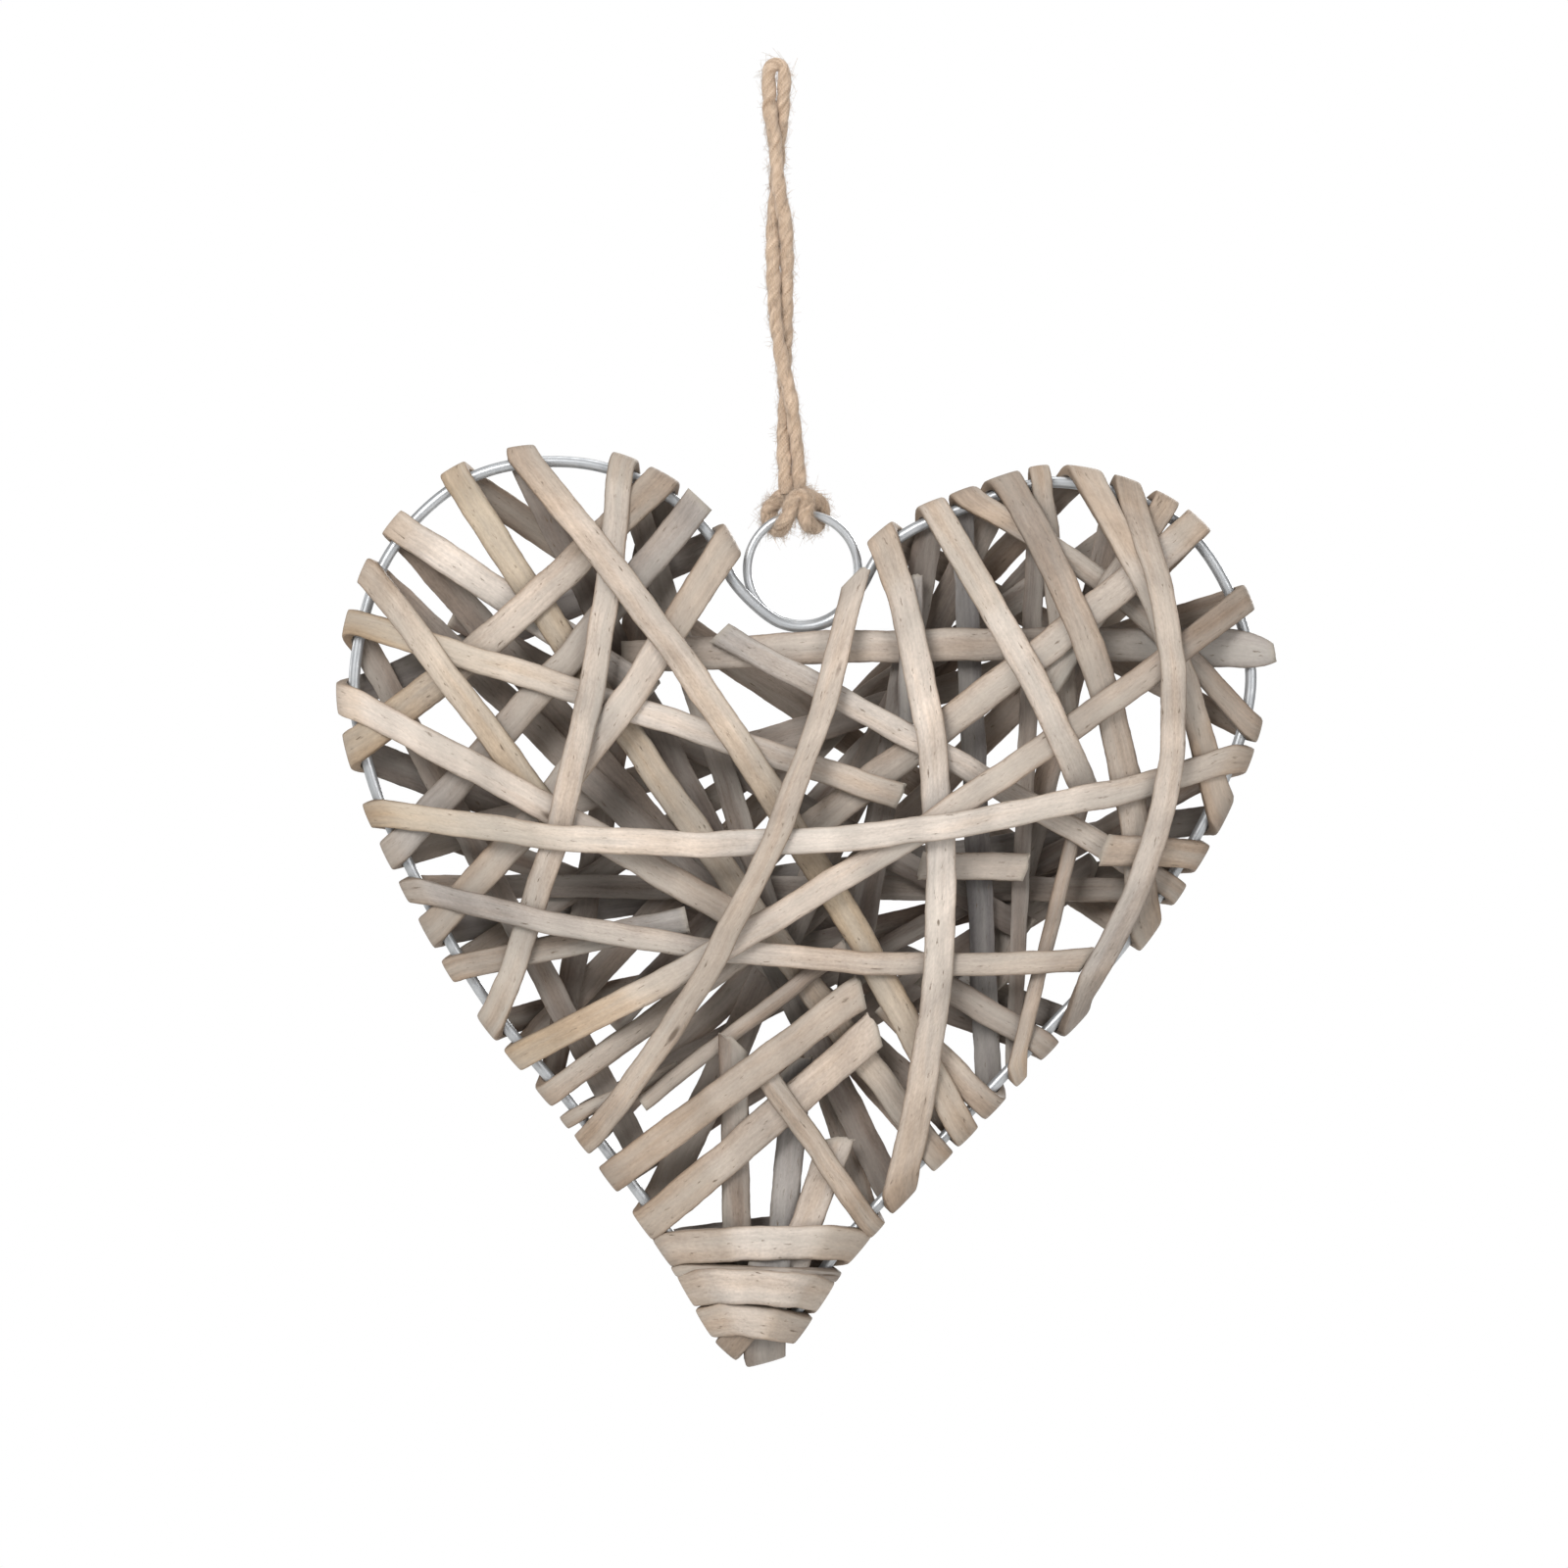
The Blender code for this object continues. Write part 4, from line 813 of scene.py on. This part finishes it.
def willow_group():
    """Washed willow: fine fibres along the strip, broad cloudy patches where the wash took, brown flecks
    and small oval bud scars, darker browner edges that are partly painted shade, and grey torn fibres on a cut
    end."""
    group = bpy.data.node_groups.new("willow grain", "ShaderNodeTree")
    sockets(group, [("Grain", "NodeSocketVector", "INPUT"), ("Tone", "NodeSocketColor", "INPUT"),
                    ("Edge", "NodeSocketFloat", "INPUT"), ("Cut", "NodeSocketFloat", "INPUT"),
                    ("Fibre", "NodeSocketFloat", "INPUT"), ("Wash", "NodeSocketFloat", "INPUT"),
                    ("Flecks", "NodeSocketFloat", "INPUT"), ("Color", "NodeSocketColor", "OUTPUT"),
                    ("Roughness", "NodeSocketFloat", "OUTPUT"), ("Height", "NodeSocketFloat", "OUTPUT")])
    inside, outside = group.nodes.new("NodeGroupInput"), group.nodes.new("NodeGroupOutput")
    grain = inside.outputs["Grain"]
    fibre = stretched_noise(group, grain, (130, 1500), 4.0, 0.6)
    mottle = stretched_noise(group, grain, (1100, 2300), 2.0, 0.5)
    patch = stretched_noise(group, grain, (26, 210), 3.0, 0.5)
    streak = stretched_noise(group, grain, (48, 560), 3.0, 0.6)
    fleck = stretched_noise(group, grain, (330, 1300), 3.0, 0.6)
    fine = combine(group, "ADD", ramp(group, fibre, 0.3, 0.7, 0.0, 0.35),
                   ramp(group, mottle, 0.3, 0.7, 0.0, 0.30))
    light = combine(group, "ADD", fine, ramp(group, streak, 0.3, 0.7, 0.0, 0.35))
    dark = combine(group, "MULTIPLY", combine(group, "SUBTRACT", 1.0, light), inside.outputs["Fibre"])
    shade = combine(group, "SUBTRACT", 1.0, dark)
    colour = blend_colour(group, "MULTIPLY", 1.0, inside.outputs["Tone"], as_colour(group, shade))
    washed = combine(group, "MULTIPLY", ramp(group, patch, 0.42, 0.68), inside.outputs["Wash"])
    colour = blend_colour(group, "MIX", washed, colour, (0.40, 0.375, 0.335, 1.0))
    worn = ramp(group, patch, 0.50, 0.30, 0.0, 0.35)
    warm = blend_colour(group, "MULTIPLY", worn, colour, (0.82, 0.70, 0.56, 1.0))
    # Painted shade along the strips' edges, mixed with a browner colour of the edges themselves
    edge_shade_and_brown = combine(group, "MULTIPLY", combine(group, "POWER", inside.outputs["Edge"], 1.4), 0.62)
    colour = blend_colour(group, "MULTIPLY", edge_shade_and_brown, warm, (0.46, 0.38, 0.30, 1.0))
    spots = combine(group, "MULTIPLY", ramp(group, fleck, 0.63, 0.73), inside.outputs["Flecks"])
    colour = blend_colour(group, "MIX", spots, colour, (0.12, 0.085, 0.055, 1.0))
    place = add(group, "ShaderNodeMapping", in_Scale=(34.0, 120.0, 1.0))
    group.links.new(grain, place.inputs["Vector"])
    buds = add(group, "ShaderNodeTexVoronoi", in_Scale=1.0)
    link(group, place, "Vector", buds, "Vector")
    chosen = add(group, "ShaderNodeSeparateColor")
    link(group, buds, "Color", chosen, 0)
    bud = ramp(group, buds.outputs["Distance"], 0.10, 0.045)
    scar = combine(group, "MULTIPLY", bud, ramp(group, chosen.outputs[0], 0.62, 0.66))
    scarred = combine(group, "MULTIPLY", scar, 0.8)
    colour = blend_colour(group, "MIX", scarred, colour, (0.09, 0.06, 0.04, 1.0))
    torn = combine(group, "MULTIPLY", inside.outputs["Cut"], 0.8)
    colour = blend_colour(group, "MIX", torn, colour, (0.36, 0.32, 0.27, 1.0))
    group.links.new(colour, outside.inputs["Color"])
    group.links.new(ramp(group, fibre, 0.3, 0.7, 0.74, 0.56), outside.inputs["Roughness"])
    sunk = combine(group, "MULTIPLY", combine(group, "ADD", spots, scar), 0.5)
    height = combine(group, "SUBTRACT", fibre, sunk)
    group.links.new(height, outside.inputs["Height"])
    return group


def willow_material(name, grain_group, fibre, wash, flecks):
    """Dull willow with its own strength of fibres, wash and flecks."""
    made, tree, shader = new_material(name, 0.65)
    shader.inputs["Specular IOR Level"].default_value = 0.28
    grain = add(tree, "ShaderNodeUVMap", uv_map="grain")
    group = add(tree, "ShaderNodeGroup", node_tree=grain_group)
    for label, value in (("Fibre", fibre), ("Wash", wash), ("Flecks", flecks)):
        group.inputs[label].default_value = value
    link(tree, grain, "UV", group, "Grain")
    for mark, socket in (("tone", "Tone"), ("edge", "Edge"), ("cut", "Cut")):
        layer = add(tree, "ShaderNodeAttribute", attribute_name=mark)
        link(tree, layer, "Color" if mark == "tone" else "Fac", group, socket)
    link(tree, group, "Color", shader, "Base Color")
    link(tree, group, "Roughness", shader, "Roughness")
    bump_from(tree, group.outputs["Height"], shader, 0.55, 0.00025)
    return made


willow_grain = willow_group()
willow_looks = {
    "willow_sand": willow_material("sand willow", willow_grain, 0.44, 0.45, 0.75),
    "willow_tan": willow_material("tan willow", willow_grain, 0.48, 0.38, 0.85),
    "willow_pale": willow_material("pale willow", willow_grain, 0.40, 0.42, 0.65),
    "willow_grey": willow_material("grey willow", willow_grain, 0.50, 0.60, 0.90),
}
# Finishes of each strip's runs in turn, from its left end. A run that changes along its way has several.
STRIP_TONES = {
    1: "tan-sand-tan-grey", 2: "pale tan tan-ochre tan tan-tan-brown tan tan-sand",
    3: "grey-tan-grey tan brown-tan-sand-sand-ochre tan sand-tan grey tan-sand-sand grey pale-sand-tan",
    4: "grey", 5: "tan brown tan-pale-pale-ochre brown brown",
    6: "ochre-sand tan tan-ochre-sand-sand brown tan-pale-sand tan brown-tan-sand grey tan",
    7: "tan tan tan-brown", 8: "grey-tan tan sand-tan", 9: "tan-sand tan tan-tan-sand",
    10: "grey-pale-sand-tan tan grey-sand-tan", 11: "tan ochre-pale-tan",
    12: "tan tan sand-sand-tan brown tan", 13: "sand",
    14: "tan brown tan-sand-ochre grey grey-sand-tan tan", 15: "tan-brown", 16: "brown", 17: "grey",
    18: "sand", 19: "tan brown", 20: "brown pale-sand", 21: "tan grey", 22: "brown tan", 23: "brown",
    24: "brown", 25: "brown grey-sand tan", 26: "brown sand tan sand-pale tan tan-pale-sand grey",
}
# How far the painted shade under a covering strip is felt, how much further out that strip has to lie, and how
# fast the shade tells
SHELTER_REACH = 0.005
SHELTER_DEPTH = 0.001
SHELTER_RATE = 0.45
EVERY = 3


def painted_shade_under_strips(strips):
    """Paints shade on each strip where others lie over it, as if in their shadow. Each point of its
    middle line adds up every third point of the others that lies further out, each weighed by a bell
    curve of its distance, so that one strip right over it counts as one. Then
    tone = tone * (1 - tint * (1 - e to the power of minus rate * count))."""
    every = np.concatenate([middle[::EVERY] for _, middle in strips])
    owner = np.repeat(np.arange(len(strips)), [len(middle[::EVERY]) for _, middle in strips])
    step = EVERY * np.linalg.norm(np.diff(strips[0][1], axis=0), axis=1).mean()
    for index, (piece, middle) in enumerate(strips):
        others = every[owner != index]
        apart = np.square(middle[:, None, [0, 2]] - others[None, :, [0, 2]]).sum(axis=2)
        outward = np.sign(-middle[:, 1])[:, None]
        further = (middle[:, 1, None] - others[None, :, 1]) * outward > SHELTER_DEPTH
        over = (np.exp(-0.5 * apart / SHELTER_REACH ** 2) * further).sum(axis=1)
        over *= step / (SHELTER_REACH * math.sqrt(2 * math.pi))
        sunk = np.repeat(1 - np.exp(-SHELTER_RATE * over), len(OUTLINE))
        sunk = np.concatenate([sunk, sunk[[0, -1]]])
        layer = piece.data.attributes["tone"].data
        tone = np.empty(len(layer) * 4)
        layer.foreach_get("color", tone)
        tone = tone.reshape(-1, 4)
        # Painted shade where other strips lie over this one
        tone[:, :3] *= 1 - sunk[:, None] * UNDER_STRIPS_SHADE_TINT
        layer.foreach_set("color", tone.ravel())


strips = []
for number, tones in STRIP_TONES.items():
    slot = list(willow_looks)[(number - 1) % len(willow_looks)]
    piece, middle = strip_skin(number, tones)
    piece.data.materials.append(willow_looks[slot])
    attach(piece, "root")
    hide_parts(f"willow_strip_{number:02d}")
    strips.append((piece, middle))
painted_shade_under_strips(strips)


# Studio. A plain pale floor far below the hanging heart, an even white surround, one large soft light
# in front to the upper left, weaker ones to the right, from above, from the left and from behind.
FLOOR_HEIGHT = -0.62
FLOOR_RADIUS = 2.4
# Strength of the surround for all but the camera, which sees it white
SURROUND = 0.25
FLOOR_SIDES = 96
around = np.linspace(0, 2 * np.pi, FLOOR_SIDES, endpoint=False)
rim = [FLOOR_RADIUS * np.cos(around), FLOOR_RADIUS * np.sin(around), np.full(FLOOR_SIDES, FLOOR_HEIGHT)]
floor_mesh = bpy.data.meshes.new("floor")
floor_mesh.from_pydata(np.column_stack(rim), [], [list(range(FLOOR_SIDES))])
floor = bpy.data.objects.new("floor", floor_mesh)
bpy.context.scene.collection.objects.link(floor)
floor_look, _, floor_shader = new_material("pale floor", 0.8)
floor_shader.inputs["Base Color"].default_value = (0.80, 0.80, 0.79, 1.0)
floor_mesh.materials.append(floor_look)

world = bpy.data.worlds.new("studio")
bpy.context.scene.world = world
world.use_nodes = True
sky = world.node_tree
backdrop = sky.nodes["Background"]
backdrop.inputs["Color"].default_value = (1.0, 1.0, 1.0, 1.0)
rays = add(sky, "ShaderNodeLightPath")
seen = add(sky, "ShaderNodeMapRange", in_1=0.0, in_2=1.0, in_3=SURROUND, in_4=1.0)
link(sky, rays, "Is Camera Ray", seen, 0)
link(sky, seen, 0, backdrop, "Strength")


def soft_light(name, place, target, size, power):
    """A large square light at a place, turned to a target."""
    lamp = bpy.data.lights.new(name, "AREA")
    lamp.size = size
    lamp.energy = power
    made = bpy.data.objects.new(name, lamp)
    made.location = place
    aim = np.array(target) - np.array(place)
    yaw = math.atan2(aim[0], -aim[1])
    tilt = math.atan2(math.hypot(aim[0], aim[1]), -aim[2])
    made.rotation_euler = (tilt, 0, yaw + math.pi)
    made.visible_camera = False
    bpy.context.scene.collection.objects.link(made)


HEART_MIDDLE = (0.0, 0.0, -0.17)
soft_light("key", (-0.75, -1.5, 0.75), HEART_MIDDLE, 0.8, 31.0)
soft_light("fill", (1.2, -1.3, 0.15), HEART_MIDDLE, 1.0, 12.0)
soft_light("top", (0.1, 0.2, 1.3), HEART_MIDDLE, 0.9, 9.0)
soft_light("back", (0.7, 1.6, 0.5), HEART_MIDDLE, 0.9, 26.0)
soft_light("side", (-1.7, 0.5, 0.1), HEART_MIDDLE, 0.8, 7.0)
bpy.context.scene.view_settings.view_transform = "Standard"
